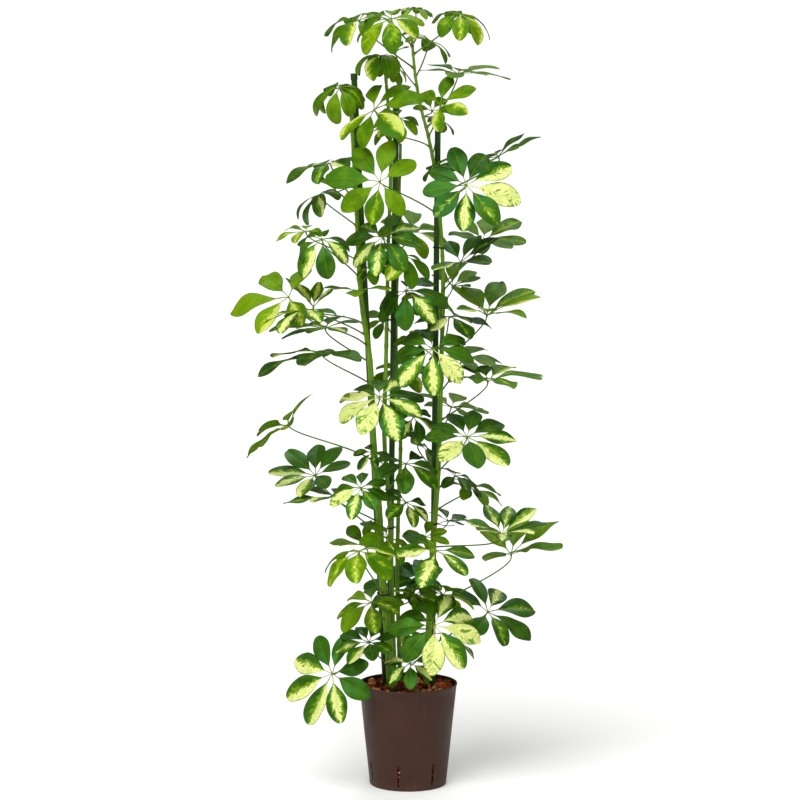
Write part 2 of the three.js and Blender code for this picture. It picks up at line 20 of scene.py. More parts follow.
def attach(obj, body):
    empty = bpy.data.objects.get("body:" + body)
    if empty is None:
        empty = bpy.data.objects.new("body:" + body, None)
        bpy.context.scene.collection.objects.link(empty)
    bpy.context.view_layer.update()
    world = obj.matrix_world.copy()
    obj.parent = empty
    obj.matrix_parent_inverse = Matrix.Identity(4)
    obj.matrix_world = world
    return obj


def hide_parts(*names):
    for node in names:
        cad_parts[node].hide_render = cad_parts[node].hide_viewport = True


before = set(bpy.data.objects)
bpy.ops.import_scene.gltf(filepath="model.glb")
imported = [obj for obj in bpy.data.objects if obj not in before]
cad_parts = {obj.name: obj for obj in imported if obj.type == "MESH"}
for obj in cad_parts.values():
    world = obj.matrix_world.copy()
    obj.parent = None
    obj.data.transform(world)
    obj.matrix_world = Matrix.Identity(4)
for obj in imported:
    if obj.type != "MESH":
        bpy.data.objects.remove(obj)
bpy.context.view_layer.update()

MM = 0.001
BODY = "root"
LOG = logging.getLogger("umbrella_plant")

Array = np.ndarray
Socket = bpy.types.NodeSocket
Material = bpy.types.Material
Piece = bpy.types.Object
Pair = tuple[float, float]


class Tint(Enum):
    """How a leaf is coloured as a whole."""

    GREEN = "green"
    CREAM = "cream"
    YOUNG = "young"


class Pattern(Enum):
    """Where the cream lies on a leaflet."""

    PLAIN = "plain"
    MIDDLE = "middle"
    HALF = "half"
    SPLASH = "splash"


# Foot and head of each stake: x, y, z
STAKE_LINES = {
    "left": ((-34, 8, 14), (-100, 12, 1331)),
    "middle": ((-38, 34, 14), (-22, 10, 1269)),
    "right": ((44, 22, 14), (55, 12, 1243)),
}

# Radius at the foot and the tip of each stem, and the points of its centre line
STEM_LINES = {
    "left": ((8.4, 3), (
        (-30, -14, 90), (-32, -13, 180), (-38, -11, 290), (-47, -6, 380), (-54, -4, 510),
        (-65, -3, 660), (-71, -3, 800), (-86, -2, 910), (-96, 0, 1100), (-107, 3, 1290),
    )),
    "middle": ((5.2, 2.8), (
        (-22, 10, 90), (-25, 12, 180), (-31, 15, 380), (-34, 13, 510), (-44, 9, 650),
        (-41, 4, 800), (-37, 0, 1000), (-33, -5, 1215), (-42, -7, 1335),
    )),
    "slender": ((4.4, 2.6), (
        (-14, 44, 90), (-15, 43, 180), (-20, 42, 425), (-18, 40, 510), (-14, 38, 650),
        (-22, 33, 810), (-18, 28, 1035), (-14, 22, 1200),
    )),
    "right": ((6.3, 2.4), (
        (30, 2, 90), (34, 2, 180), (46, 7, 440), (56, 4, 590), (61, 1, 760), (62, -1, 1025),
        (48, -4, 1160), (37, -6, 1216), (23, -8, 1270), (14, -10, 1320), (7, -12, 1390),
    )),
}

# Each tie: its stem, its stake, its height and how long its twisted ends stand out
TIE_PLACES = {
    "left_tie": ("left", "left", 361, 7),
    "lower_middle_tie": ("middle", "middle", 484, 6),
    "upper_middle_tie": ("middle", "middle", 876, 6),
    "lower_right_tie": ("right", "right", 493, 34),
    "upper_right_tie": ("right", "right", 1010, 7),
}

# Leaves at each stem's growing tip and close in among the stems. A row holds the height where the leaf
# grows from its stem, its hub x, y, z, the way its upper face looks (degrees to the right of the front, and
# above level), the length of its longest leaflet, the number of leaflets, the rise of their midribs at the
# hub and their droop from there to the tip in degrees, and the colour.
STEM_LEAVES = {
    "right": (
        (1386, 14, -12, 1446, 20, 78, 46, 7, 15, 75, "young"),
        (1366, 92, -20, 1438, 30, 72, 84, 7, 6, 82, "young"),
        (1380, -31, -44, 1428, -22, 58, 90, 7, 15, 82, "young"),
        (1340, -90, -10, 1427, -40, 66, 89, 7, 18, 82, "young"),
        (1306, -22, 30, 1372, 40, 75, 38, 5, 40, 30, "young"),
        (1326, 42, 32, 1390, 70, 62, 70, 5, 10, 65, "young"),
        (1232, 92, 26, 1331, 30, 84, 104, 7, 14, 24, "young"),
        (1216, 58, -52, 1274, -26, 40, 76, 5, 14, 32, "young"),
        (1110, 50, 36, 1161, -60, 60, 52, 6, 10, 50, "green"),
        (1180, 64, 34, 1243, 100, 60, 46, 6, 10, 60, "green"),
        (900, 84, 20, 936, 25, 70, 66, 6, 34, 20, "young"),
        (590, 22, 40, 642, 100, 40, 84, 6, 15, 45, "green"),
        (560, 88, 16, 584, 60, 65, 66, 6, 10, 50, "green"),
        (242, 4, -74, 244, -10, 55, 62, 6, 15, 50, "cream"),
        (1196, -33, -46, 1229, -30, 65, 46, 5, 20, 75, "young"),
        (1250, 44, 20, 1262, 10, 40, 48, 5, 25, 60, "young"),
        (800, 20, 40, 836, -20, 50, 56, 5, 15, 50, "young"),
    ),
    "middle": (
        (1330, -50, -18, 1362, -20, 82, 73, 8, 20, 126, "young"),
        (1320, -37, -38, 1343, 30, 70, 60, 6, 10, 100, "young"),
        (1000, -46, -64, 1033, -15, 45, 92, 8, 8, 45, "cream"),
        (1206, -62, -34, 1264, -42, 44, 104, 6, 8, 34, "young"),
        (600, -66, -34, 633, -20, 50, 46, 5, 10, 50, "green"),
        (448, -37, -44, 477, 50, 50, 74, 6, 15, 60, "young"),
    ),
    "left": (
        (1280, -125, -6, 1304, -20, 62, 82, 8, 10, 110, "young"),
        (1100, -143, -20, 1166, -65, 74, 92, 7, 14, 48, "cream"),
        (1050, -165, 34, 1107, -60, 62, 78, 6, 5, 78, "green"),
        (985, -188, -34, 1041, -50, 72, 62, 5, 25, 60, "young"),
        (1120, -134, -50, 1119, -30, 76, 56, 5, 44, 14, "young"),
        (945, -67, -30, 980, -20, 65, 56, 5, 10, 75, "young"),
    ),
    "slender": (
        (1180, -17, -60, 1249, 10, 50, 60, 7, 10, 65, "young"),
        (1000, 7, 60, 1037, 20, 55, 88, 6, 10, 45, "young"),
        (880, 34, 76, 915, 150, 60, 70, 6, 10, 50, "green"),
        (740, -14, 88, 775, 180, 55, 74, 6, 10, 50, "green"),
        (325, -19, 60, 362, 0, 45, 84, 6, 5, 40, "green"),
        (235, -14, 86, 275, 170, 60, 64, 6, 10, 50, "green"),
        (835, -41, 50, 872, -10, 55, 62, 6, 10, 60, "young"),
    ),
}

# Leaves along the stems, in rows of the same form with the stem first
LEAVES = (
    ("right", 1085, 105, -92, 1128, 2, 32, 104, 9, 5, 25, "cream"),
    ("right", 1105, 167, 34, 1178, -80, 62, 92, 6, 10, 15, "green"),
    ("right", 1070, -51, -72, 1135, -8, 22, 100, 7, 5, 25, "young"),
    ("slender", 950, -8, -72, 1000, 35, 55, 78, 7, 5, 50, "young"),
    ("right", 930, 96, -44, 986, -30, 64, 86, 6, 26, 24, "green"),
    ("right", 945, 140, 10, 1022, 10, 66, 92, 7, 22, 32, "young"),
    ("left", 955, -156, -134, 1032, -14, 52, 86, 7, 5, 86, "cream"),
    ("left", 850, -220, -44, 922, -35, 52, 118, 5, 16, 34, "young"),
    ("left", 830, -189, -88, 905, -70, 78, 84, 5, 8, 45, "cream"),
    ("left", 870, -177, 40, 898, 170, 80, 76, 6, 48, 10, "cream"),
    ("left", 890, -90, -74, 936, -10, 86, 85, 5, 10, 14, "young"),
    ("left", 800, -154, 10, 860, -60, 80, 106, 7, 14, 28, "cream"),
    ("left", 760, -160, -36, 820, -74, 82, 134, 5, 6, 26, "cream"),
    ("slender", 880, -4, -60, 935, -15, 52, 92, 7, 2, 62, "green"),
    ("right", 775, 45, -94, 830, -5, 42, 98, 8, 10, 65, "cream"),
    ("right", 830, 76, -20, 884, 40, 78, 90, 5, 10, 42, "cream"),
    ("right", 800, 146, -24, 885, 20, 74, 112, 8, 38, 35, "young"),
    ("right", 745, 101, 52, 801, 30, 78, 89, 7, 14, 30, "young"),
    ("right", 690, 148, -14, 763, 20, 82, 114, 8, 28, 42, "young"),
    ("right", 655, 82, 74, 706, 60, 74, 84, 7, 16, 30, "young"),
    ("left", 700, -53, -92, 742, -6, 58, 102, 9, 8, 45, "cream"),
    ("right", 595, 108, -82, 667, 14, 58, 102, 9, 14, 28, "cream"),
    ("left", 615, -222, -34, 683, -104, 46, 108, 6, 22, 34, "young"),
    ("middle", 462, -174, 30, 581, -25, 60, 94, 8, 24, 28, "cream"),
    ("left", 525, -87, -82, 573, -10, 52, 70, 8, 12, 50, "cream"),
    ("left", 500, -134, -20, 550, -60, 82, 104, 5, 8, 10, "green"),
    ("slender", 655, 10, -54, 702, 20, 45, 59, 6, 10, 60, "cream"),
    ("middle", 560, -4, -44, 616, 20, 60, 82, 6, 15, 55, "green"),
    ("right", 520, 114, 16, 557, 60, 72, 78, 7, 15, 50, "young"),
    ("middle", 500, -4, -70, 544, 40, 50, 66, 6, 15, 45, "green"),
    ("slender", 425, 172, -64, 488, 10, 72, 95, 8, 34, 24, "cream"),
    ("right", 335, 192, -24, 440, -30, 76, 119, 6, 30, 30, "young"),
    ("right", 470, 76, 60, 494, 70, 75, 57, 5, 20, 20, "cream"),
    ("slender", 430, 31, -40, 475, 20, 55, 53, 6, 30, 40, "young"),
    ("right", 350, 21, 60, 381, 0, 40, 66, 6, 5, 45, "green"),
    ("left", 365, -90, -152, 467, -50, 74, 100, 7, 8, 66, "young"),
    ("left", 410, -80, -22, 456, -60, 60, 70, 5, 40, 20, "young"),
    ("right", 385, 52, -60, 459, 22, 60, 98, 5, 12, 36, "cream"),
    ("middle", 330, 12, 88, 362, 170, 50, 68, 7, 10, 50, "green"),
    ("left", 315, -68, -40, 353, -30, 62, 86, 7, 15, 55, "young"),
    ("right", 310, 66, 0, 366, 140, 60, 76, 7, 15, 45, "young"),
    ("right", 262, 150, -24, 327, 40, 50, 104, 7, 14, 34, "green"),
    ("slender", 275, 48, -102, 323, 8, 40, 104, 9, 8, 50, "cream"),
    ("right", 235, 92, 52, 262, 110, 60, 57, 6, 10, 50, "green"),
    ("left", 232, -73, -30, 281, -20, 62, 71, 8, 18, 38, "green"),
    ("left", 262, -141, -62, 222, -30, 26, 106, 8, 5, 20, "green"),
)


def rgb(code: str) -> tuple[float, float, float, float]:
    """Turns a hex colour, as a screen shows it, into linear light.

    Args:
        code: Six hex digits.

    Returns:
        Red, green, blue and a full alpha.
    """
    shares = [int(code[i:i + 2], 16) / 255 for i in (0, 2, 4)]
    red, green, blue = (s / 12.92 if s <= 0.04045 else ((s + 0.055) / 1.055) ** 2.4 for s in shares)
    return red, green, blue, 1.0


def unit(vector: Array) -> Array:
    """Gives a vector the length of one."""
    return vector / np.linalg.norm(vector)


def facing(turn: float, tilt: float) -> Array:
    """Gives a direction by degrees to the right of the front and degrees above level."""
    a, b = math.radians(turn), math.radians(tilt)
    return np.array((math.sin(a) * math.cos(b), -math.cos(a) * math.cos(b), math.sin(b)))


def swung(ahead: Array, across: Array, angle: float) -> Array:
    """Turns a direction toward another, square to it, by an angle in degrees."""
    a = math.radians(angle)
    return ahead * math.cos(a) + across * math.sin(a)


def circle(sides: int) -> Array:
    """Gives equal steps round a circle of one unit, as x and y."""
    angle = np.arange(sides) * 2 * math.pi / sides
    return np.stack([np.cos(angle), np.sin(angle)], -1)


def quarter(steps: int) -> list[Pair]:
    """Gives steps round a quarter circle of one unit, as distances from the corner that it rounds off."""
    angles = [math.pi / 2 * k / steps for k in range(steps + 1)]
    return [(1 - math.sin(a), 1 - math.cos(a)) for a in angles]


def turned(section: list[Pair], sides: int) -> Array:
    """Turns a section, the radius and the height of each ring, round the upright."""
    return np.array([np.column_stack([circle(sides) * r, np.full(sides, z)]) for r, z in section])


class Draws:
    """A repeatable run of draws, the same as the solids' leaves were drawn with."""

    FACTOR = 1664525
    ADDED = 1013904223
    SPAN = 2**32

    def __init__(self, seed: int) -> None:
        """Starts the run from a seed."""
        self.state = seed

    def share(self) -> float:
        """Draws a number between 0 and 1."""
        self.state = (self.state * self.FACTOR + self.ADDED) % self.SPAN
        return self.state / self.SPAN

    def either(self) -> float:
        """Draws a number between -1 and 1."""
        return self.share() * 2 - 1


class Graph:
    """The nodes of one material, added and joined by short calls. A colour may be given by its hex code."""

    def __init__(self, name: str) -> None:
        """Starts an empty material.

        Args:
            name: Its name.
        """
        self.material = bpy.data.materials.new(name)
        self.material.use_nodes = True
        self.tree = self.material.node_tree
        self.tree.nodes.clear()

    def add(self, kind: str, inputs: dict | None = None, **settings: object) -> bpy.types.Node:
        """Adds a node.

        Args:
            kind: The node's type without its leading words ShaderNode.
            inputs: A value or a socket for each input, by name or number.
            settings: The node's own settings.

        Returns:
            The node.
        """
        node = self.tree.nodes.new("ShaderNode" + kind)
        for key, value in settings.items():
            setattr(node, key, value)
        for key, value in (inputs or {}).items():
            if isinstance(value, Socket):
                self.tree.links.new(value, node.inputs[key])
            else:
                node.inputs[key].default_value = rgb(value) if isinstance(value, str) else value
        return node

    def math(self, operation: str, *values: object) -> Socket:
        """Adds a sum of numbers or sockets and returns its result."""
        return self.add("Math", dict(enumerate(values)), operation=operation).outputs[0]

    def plus(self, value: object, more: object) -> Socket:
        """Adds two values."""
        return self.math("ADD", value, more)

    def times(self, value: object, factor: object) -> Socket:
        """Multiplies a value by a factor."""
        return self.math("MULTIPLY", value, factor)

    def line(self, value: object, factor: object, start: object) -> Socket:
        """Multiplies a value by a factor and adds it to a start."""
        return self.math("MULTIPLY_ADD", value, factor, start)

    def sway(self, cloud: Socket, width: float) -> Socket:
        """Spreads a cloud over a width round nought."""
        return self.line(cloud, width, -width / 2)

    def attribute(self, name: str, output: str = "Fac") -> Socket:
        """Returns a value that the mesh holds at its points."""
        return self.add("Attribute", attribute_name=name).outputs[output]

    def split(self, vector: Socket) -> bpy.types.NodeOutputs:
        """Returns the three parts of a vector."""
        return self.add("SeparateXYZ", {0: vector}).outputs

    def place(self, level: float = 1, upright: float = 1) -> Socket:
        """Returns where a point lies on its piece, in metres, stretched level and upright."""
        place = self.add("TexCoord").outputs["Object"]
        return self.add("VectorMath", {0: place, 1: (level, level, upright)}, operation="MULTIPLY").outputs[0]

    def noise(self, vector: Socket, scale: float = 1, detail: float = 3, rough: float = 0.6) -> Socket:
        """Returns a cloud of numbers round a half, with finer layers by number and strength."""
        inputs = {"Vector": vector, "Scale": scale, "Detail": detail, "Roughness": rough}
        return self.add("TexNoise", inputs).outputs[0]

    def cloud(self, axes: tuple[Socket, ...], scales: Pair, detail: float) -> Socket:
        """Returns a cloud over two values of a surface, of which a third value tells one from another."""
        parts = {k: self.times(axes[k], scales[k]) for k in range(2)}
        return self.noise(self.add("CombineXYZ", parts | {2: axes[2]}).outputs[0], detail=detail)

    def step(self, value: object, low: float, high: float, start: float = 0, end: float = 1) -> Socket:
        """Maps a value smoothly from start, at low, to end, at high."""
        inputs = {0: value, 1: low, 2: high, 3: start, 4: end}
        return self.add("MapRange", inputs, interpolation_type="SMOOTHSTEP").outputs[0]

    def mix(self, share: object, a: object, b: object) -> Socket:
        """Blends colour a into colour b by a share."""
        return self.add("Mix", {0: share, 6: a, 7: b}, data_type="RGBA").outputs[2]

    def plain(self, colour: object, roughness: object, relief: tuple[Socket, float] | None = None,
              **values: object) -> Socket:
        """Adds the main shader.

        Args:
            colour: Its base colour.
            roughness: Its roughness.
            relief: Its heights and their depth in millimetres, if it has any.
            values: Its other values, with underscores for spaces.

        Returns:
            The shader.
        """
        inputs = {"Base Color": colour, "Roughness": roughness}
        inputs.update({key.replace("_", " "): value for key, value in values.items()})
        if relief:
            bump = {"Height": relief[0], "Distance": relief[1] * MM, "Strength": 1.0}
            inputs["Normal"] = self.add("Bump", bump).outputs[0]
        return self.add("BsdfPrincipled", inputs).outputs[0]


class Finish:
    """A finish of one surface, as a material that is made once.

    Its scales say how many clouds of noise a metre holds, its ranges between which values something sets in,
    and what ends in show how strong it is there.
    """

    name: str

    @functools.cache
    def material(self) -> Material:
        """Makes the material when it is first asked for.

        Returns:
            The material.
        """
        g = Graph(self.name)
        g.add("OutputMaterial", {"Surface": self.shader(g)})
        return g.material


@dataclass(frozen=True)
class BladeFinish(Finish):
    """One face of a leaflet: green with side veins, a pale midrib, jagged cream patches and a painted sheen.

    Its scales are by the millimetre. The vein that a point lies on is told by how far along the leaflet it
    meets the midrib, and clouds of noise are read apart for each half and each leaflet.
    """

    name: str
    dark: str
    light: str
    pale: str
    cream: str
    rib: str
    roughness: float = 0.4
    relief: float = 0.3
    through: float = 0.12
    gloss: float = 0.6
    # A bluish green painted sheen, mixed up to this share into the lighter-toned leaflets
    painted_sheen_share: float = 0.0
    painted_sheen_green: str = "064410"
    sheen: str = "84FF90"
    streak_scales: Pair = (0.15, 0.06)
    fleck_scales: Pair = (0.55, 0.25)
    patch_scales: Pair = (0.06, 0.05)
    half_apart: float = 3.7
    seed_apart: float = 9.1
    torn: float = 1.0
    patchy: float = 0.7
    mottled: float = 1.2
    cream_edge: Pair = (0.47, 0.53)
    fleck_edge: Pair = (0.66, 0.6)
    border_edge: Pair = (0.2, 0.34)
    border_show: float = 0.75
    warm_range: Pair = (0.3, 0.7)
    warm_show: float = 0.35
    shade_range: Pair = (0.05, 0.9)
    painted_sheen_range: Pair = (0.42, 0.62)
    vein_lean: float = 1.05
    vein_pitch: float = 1.5
    vein_edge: Pair = (0.82, 1.0)
    vein_range: Pair = (0.3, 2.0)
    vein_show: float = 0.17
    vein_sink: float = 0.6
    rib_half: float = 0.95
    rib_taper: float = 0.006
    rib_edge: Pair = (0.0, 0.35)
    rib_show: float = 0.35
    rim_edge: Pair = (0.1, 0.8)
    rim_show: float = 0.75
    grain_scale: float = 1.6
    grain_height: float = 0.25
    grain_rough: float = 0.12
    back_pale: float = 0.35
    bending: float = 1.45

    def shader(self, g: Graph) -> Socket:
        """Adds the nodes.

        Args:
            g: The material's graph.

        Returns:
            The shader.
        """
        across, along, seed = g.split(g.attribute("leaf_place", "Vector"))
        tone = g.attribute("leaf_tone")
        off = g.math("ABSOLUTE", across)
        vein = g.math("SUBTRACT", along, g.times(off, self.vein_lean))
        half = g.line(g.math("SIGN", across), self.half_apart, g.times(seed, self.seed_apart))
        streaks = g.cloud((vein, off, half), self.streak_scales, detail=3)
        flecks = g.cloud((vein, off, half), self.fleck_scales, detail=2)
        patches = g.cloud((across, along, seed), self.patch_scales, detail=2)

        # The cream: patches whose edges are torn along the side veins, with green flecks in them
        level = g.plus(g.attribute("leaf_cream"), g.sway(streaks, self.torn))
        level = g.plus(level, g.sway(patches, self.patchy))
        creamy = g.times(g.step(level, *self.cream_edge), g.step(flecks, *self.fleck_edge))

        # The green, its bluish painted sheen and its side veins, then the pale border, the cream, the midrib
        # and the rim
        shade = g.plus(tone, g.sway(patches, self.mottled))
        green = g.mix(g.step(shade, *self.shade_range), self.dark, self.light)
        # Painted sheen: a bluish green stands in for the gloss that some leaflets show
        green = g.mix(g.step(tone, *self.painted_sheen_range, end=self.painted_sheen_share), green, self.painted_sheen_green)
        wave = g.math("SINE", g.times(vein, self.vein_pitch))
        lines = g.times(g.step(wave, *self.vein_edge), g.step(off, *self.vein_range))
        green = g.mix(g.times(lines, self.vein_show), green, self.rib)
        warm = g.mix(g.step(patches, *self.warm_range), self.cream, self.rib)
        colour = g.mix(g.step(level, *self.border_edge, end=self.border_show), green, self.pale)
        colour = g.mix(creamy, colour, g.mix(self.warm_show, self.cream, warm))
        inside = g.line(along, -self.rib_taper, g.math("SUBTRACT", self.rib_half, off))
        rib = g.step(inside, *self.rib_edge)
        colour = g.mix(g.times(rib, self.rib_show), colour, self.rib)
        rim = g.step(g.attribute("leaf_rim"), *self.rim_edge, end=self.rim_show)
        colour = g.mix(rim, colour, self.dark)

        # The relief and the shine
        fine = g.noise(g.attribute("leaf_place", "Vector"), self.grain_scale, detail=2)
        height = g.line(fine, self.grain_height, g.times(lines, -self.vein_sink))
        height = g.math("SUBTRACT", height, rib)
        rough = g.line(fine, self.grain_rough, self.roughness - self.grain_rough / 2)
        face = g.plain(colour, rough, (height, self.relief), IOR=self.bending,
                       Specular_IOR_Level=self.gloss, Specular_Tint=self.sheen)
        back = g.add("BsdfTranslucent", {"Color": g.mix(self.back_pale, colour, self.rib)}).outputs[0]
        return g.add("MixShader", {0: self.through, 1: face, 2: back}).outputs[0]


@dataclass(frozen=True)
class StalkFinish(Finish):
    """Smooth green stalk, with brown scars and rubbed brown here and there."""

    name: str
    green: str
    light: str
    worn: str
    roughness: float
    scars: float
    gloss: float = 0.3
    relief: float = 0.25
    streak_scales: Pair = (260, 22)
    cloud_scale: float = 26.0
    spot_scale: float = 520.0
    spot_stretch: float = 0.45
    lit_range: Pair = (0.2, 0.8)
    worn_range: Pair = (0.56, 0.72)
    worn_show: float = 0.6
    spot_edge: Pair = (0.68, 0.74)
    spot_rise: Pair = (0.66, 0.74)
    scar_show: float = 0.8
    streak_height: float = 0.5
    rough_range: Pair = (0.3, 0.7)
    rough_change: Pair = (-0.06, 0.1)

    def shader(self, g: Graph) -> Socket:
        """Adds the nodes.

        Args:
            g: The material's graph.

        Returns:
            The shader.
        """
        streaks = g.noise(g.place(*self.streak_scales))
        clouds = g.noise(g.place(), self.cloud_scale)
        spots = g.noise(g.place(1, self.spot_stretch), self.spot_scale, detail=1)
        colour = g.mix(g.step(streaks, *self.lit_range), self.green, self.light)
        colour = g.mix(g.step(clouds, *self.worn_range, end=self.worn_show), colour, self.worn)
        colour = g.mix(g.step(spots, *self.spot_edge, end=self.scars), colour, self.worn)
        colour = g.mix(g.times(g.attribute("stem_scar"), self.scar_show), colour, self.worn)
        height = g.plus(g.times(streaks, self.streak_height), g.step(spots, *self.spot_rise))
        rough = g.step(clouds, *self.rough_range, *(self.roughness + c for c in self.rough_change))
        return g.plain(colour, rough, (height, self.relief), Specular_IOR_Level=self.gloss)


@dataclass(frozen=True)
class PotFinish(Finish):
    """Thin brown moulded plastic, dull, with rub marks, a fine grain and dust at heights given in metres."""

    name: str = "brown_plastic"
    brown: str = "3A241B"
    lit: str = "442C23"
    dust: str = "64483C"
    rim_dust: Pair = (0.187, 0.1925)
    rim_dust_show: float = 0.45
    foot_dust: Pair = (0.02, 0.0)
    foot_dust_show: float = 0.4
    roughness: float = 0.5
    gloss: float = 0.16
    relief: float = 0.06
    cloud_scale: float = 14.0
    drawn_scales: Pair = (60, 5)
    grain_scale: float = 1400.0
    rub_scales: Pair = (30, 420)
    lit_range: Pair = (0.35, 0.7)
    lit_show: float = 0.55
    drawn_range: Pair = (0.55, 0.8)
    drawn_show: float = 0.3
    rub_range: Pair = (0.7, 0.8)
    rub_show: float = 0.2
    rub_height: float = 0.3
    rough_range: Pair = (0.3, 0.75)
    rough_change: Pair = (-0.07, 0.13)

    def shader(self, g: Graph) -> Socket:
        """Adds the nodes.

        Args:
            g: The material's graph.

        Returns:
            The shader.
        """
        z = g.split(g.place())[2]
        clouds = g.noise(g.place(), self.cloud_scale, detail=4)
        drawn = g.noise(g.place(*self.drawn_scales))
        grain = g.noise(g.place(), self.grain_scale, detail=2)
        rubbed = g.noise(g.place(*self.rub_scales))
        colour = g.mix(g.step(clouds, *self.lit_range, end=self.lit_show), self.brown, self.lit)
        colour = g.mix(g.step(drawn, *self.drawn_range, end=self.drawn_show), colour, self.dust)
        edge = g.step(z, *self.rim_dust, end=self.rim_dust_show)
        foot = g.step(z, *self.foot_dust, end=self.foot_dust_show)
        colour = g.mix(g.times(g.math("MAXIMUM", edge, foot), clouds), colour, self.dust)
        colour = g.mix(g.step(rubbed, *self.rub_range, end=self.rub_show), colour, self.dust)
        rough = g.step(clouds, *self.rough_range, *(self.roughness + c for c in self.rough_change))
        height = g.line(rubbed, self.rub_height, grain)
        return g.plain(colour, rough, (height, self.relief), Specular_IOR_Level=self.gloss)


@dataclass(frozen=True)
class StakeFinish(Finish):
    """Green plastic skin drawn over a tube: lengthwise lines, dull scuffs and paler rubbed stretches."""

    name: str = "green_coat"
    green: str = "2C5406"
    light: str = "50741A"
    dark: str = "1A3804"
    roughness: float = 0.38
    gloss: float = 0.25
    relief: float = 0.12
    line_scales: Pair = (700, 4)
    cloud_scale: float = 24.0
    cloud_stretch: float = 0.4
    scuff_scale: float = 320.0
    line_range: Pair = (0.35, 0.65)
    pale_range: Pair = (0.45, 0.75)
    pale_show: float = 0.7
    scuff_range: Pair = (0.62, 0.75)
    scuff_show: float = 0.35
    rough_range: Pair = (0.3, 0.7)
    rough_change: Pair = (-0.06, 0.16)

    def shader(self, g: Graph) -> Socket:
        """Adds the nodes.

        Args:
            g: The material's graph.

        Returns:
            The shader.
        """
        lines = g.noise(g.place(*self.line_scales), detail=2)
        clouds = g.noise(g.place(1, self.cloud_stretch), self.cloud_scale, detail=4)
        scuffs = g.noise(g.place(), self.scuff_scale)
        colour = g.mix(g.step(lines, *self.line_range), self.dark, self.green)
        colour = g.mix(g.step(clouds, *self.pale_range, end=self.pale_show), colour, self.light)
        colour = g.mix(g.step(scuffs, *self.scuff_range, end=self.scuff_show), colour, self.light)
        rough = g.step(scuffs, *self.rough_range, *(self.roughness + c for c in self.rough_change))
        return g.plain(colour, rough, (lines, self.relief), Specular_IOR_Level=self.gloss)


@dataclass(frozen=True)
class WireFinish(Finish):
    """Dark green skin on the tying wire, worn black here and there."""

    name: str = "tying_wire"
    green: str = "12260F"
    black: str = "0B0D0A"
    roughness: float = 0.42
    gloss: float = 0.2
    relief: float = 0.1
    cloud_scale: float = 180.0
    worn_range: Pair = (0.4, 0.62)
    rough_range: Pair = (0.3, 0.7)
    rougher: float = 0.2

    def shader(self, g: Graph) -> Socket:
        """Adds the nodes.

        Args:
            g: The material's graph.

        Returns:
            The shader.
        """
        clouds = g.noise(g.place(), self.cloud_scale)
        colour = g.mix(g.step(clouds, *self.worn_range), self.green, self.black)
        rough = g.step(clouds, *self.rough_range, self.roughness, self.roughness + self.rougher)
        return g.plain(colour, rough, (clouds, self.relief), Specular_IOR_Level=self.gloss)


@dataclass(frozen=True)
class ClayFinish(Finish):
    """Fired clay granules: each with its own red, orange, brown or sandy tone, dusty, pits in painted shade.
    """

    name: str = "fired_clay"
    tones: tuple[str, ...] = ("1A0805", "561A0C", "80280F", "B8541C", "E6AE74", "2A0E08")
    dust: str = "E6AE74"
    pit_shade: str = "1C0C06"
    roughness: float = 0.88
    gloss: float = 0.2
    relief: float = 0.7
    grain_scale: float = 700.0
    grain_strength: float = 0.7
    pit_scale: float = 1100.0
    dust_range: Pair = (0.5, 0.8)
    dust_show: float = 0.22
    pit_shade_edge: Pair = (0.42, 0.3)
    pit_shade_show: float = 0.8
    pit_sink: Pair = (0.45, 0.3)

    def shader(self, g: Graph) -> Socket:
        """Adds the nodes.

        Args:
            g: The material's graph.

        Returns:
            The shader.
        """
        ramp = g.add("ValToRGB", {0: g.attribute("clay_tone")})
        stops = ramp.color_ramp.elements
        while len(stops) < len(self.tones):
            stops.new(len(stops) / len(self.tones))
        for k, code in enumerate(self.tones):
            stops[k].position = k / (len(self.tones) - 1)
            stops[k].color = rgb(code)
        grain = g.noise(g.place(), self.grain_scale, detail=4, rough=self.grain_strength)
        pits = g.noise(g.place(), self.pit_scale, detail=2)
        colour = g.mix(g.step(grain, *self.dust_range, end=self.dust_show), ramp.outputs[0], self.dust)
        # Painted shade: the pits, which the relief sinks, are darkened to near black
        colour = g.mix(g.step(pits, *self.pit_shade_edge, end=self.pit_shade_show), colour, self.pit_shade)
        height = g.line(g.step(pits, *self.pit_sink), -1.0, grain)
        return g.plain(colour, self.roughness, (height, self.relief), Specular_IOR_Level=self.gloss)


@dataclass(frozen=True)
class FloorFinish(Finish):
    """Pale painted studio floor with a barely seen unevenness."""

    name: str = "pale_floor"
    near: str = "F4F4F2"
    far: str = "EFEFED"
    roughness: float = 0.9
    cloud_scale: float = 0.8

    def shader(self, g: Graph) -> Socket:
        """Adds the nodes to a graph and returns the shader."""
        colour = g.mix(g.noise(g.place(), self.cloud_scale, detail=2), self.near, self.far)
        return g.plain(colour, self.roughness)


DULL = {"roughness": 0.55, "relief": 0.35, "through": 0.42, "gloss": 0.15}
BRIGHT = {"roughness": 0.45, "through": 0.26, "gloss": 0.4}
UPPER = {
    # Green and cream upper faces take up to half of the bluish painted sheen
    Tint.GREEN: BladeFinish("green_blade", "163600", "4A7400", "76981A", "F0F29C", "8CA810", painted_sheen_share=0.5),
    Tint.CREAM: BladeFinish("cream_blade", "1A3E00", "527C02", "7CA020", "F4F6A0", "98B81C", painted_sheen_share=0.5),
    Tint.YOUNG: BladeFinish("young_blade", "406E00", "7A9E00", "9CBA14", "E6EC80", "ACC41C", **BRIGHT),
}
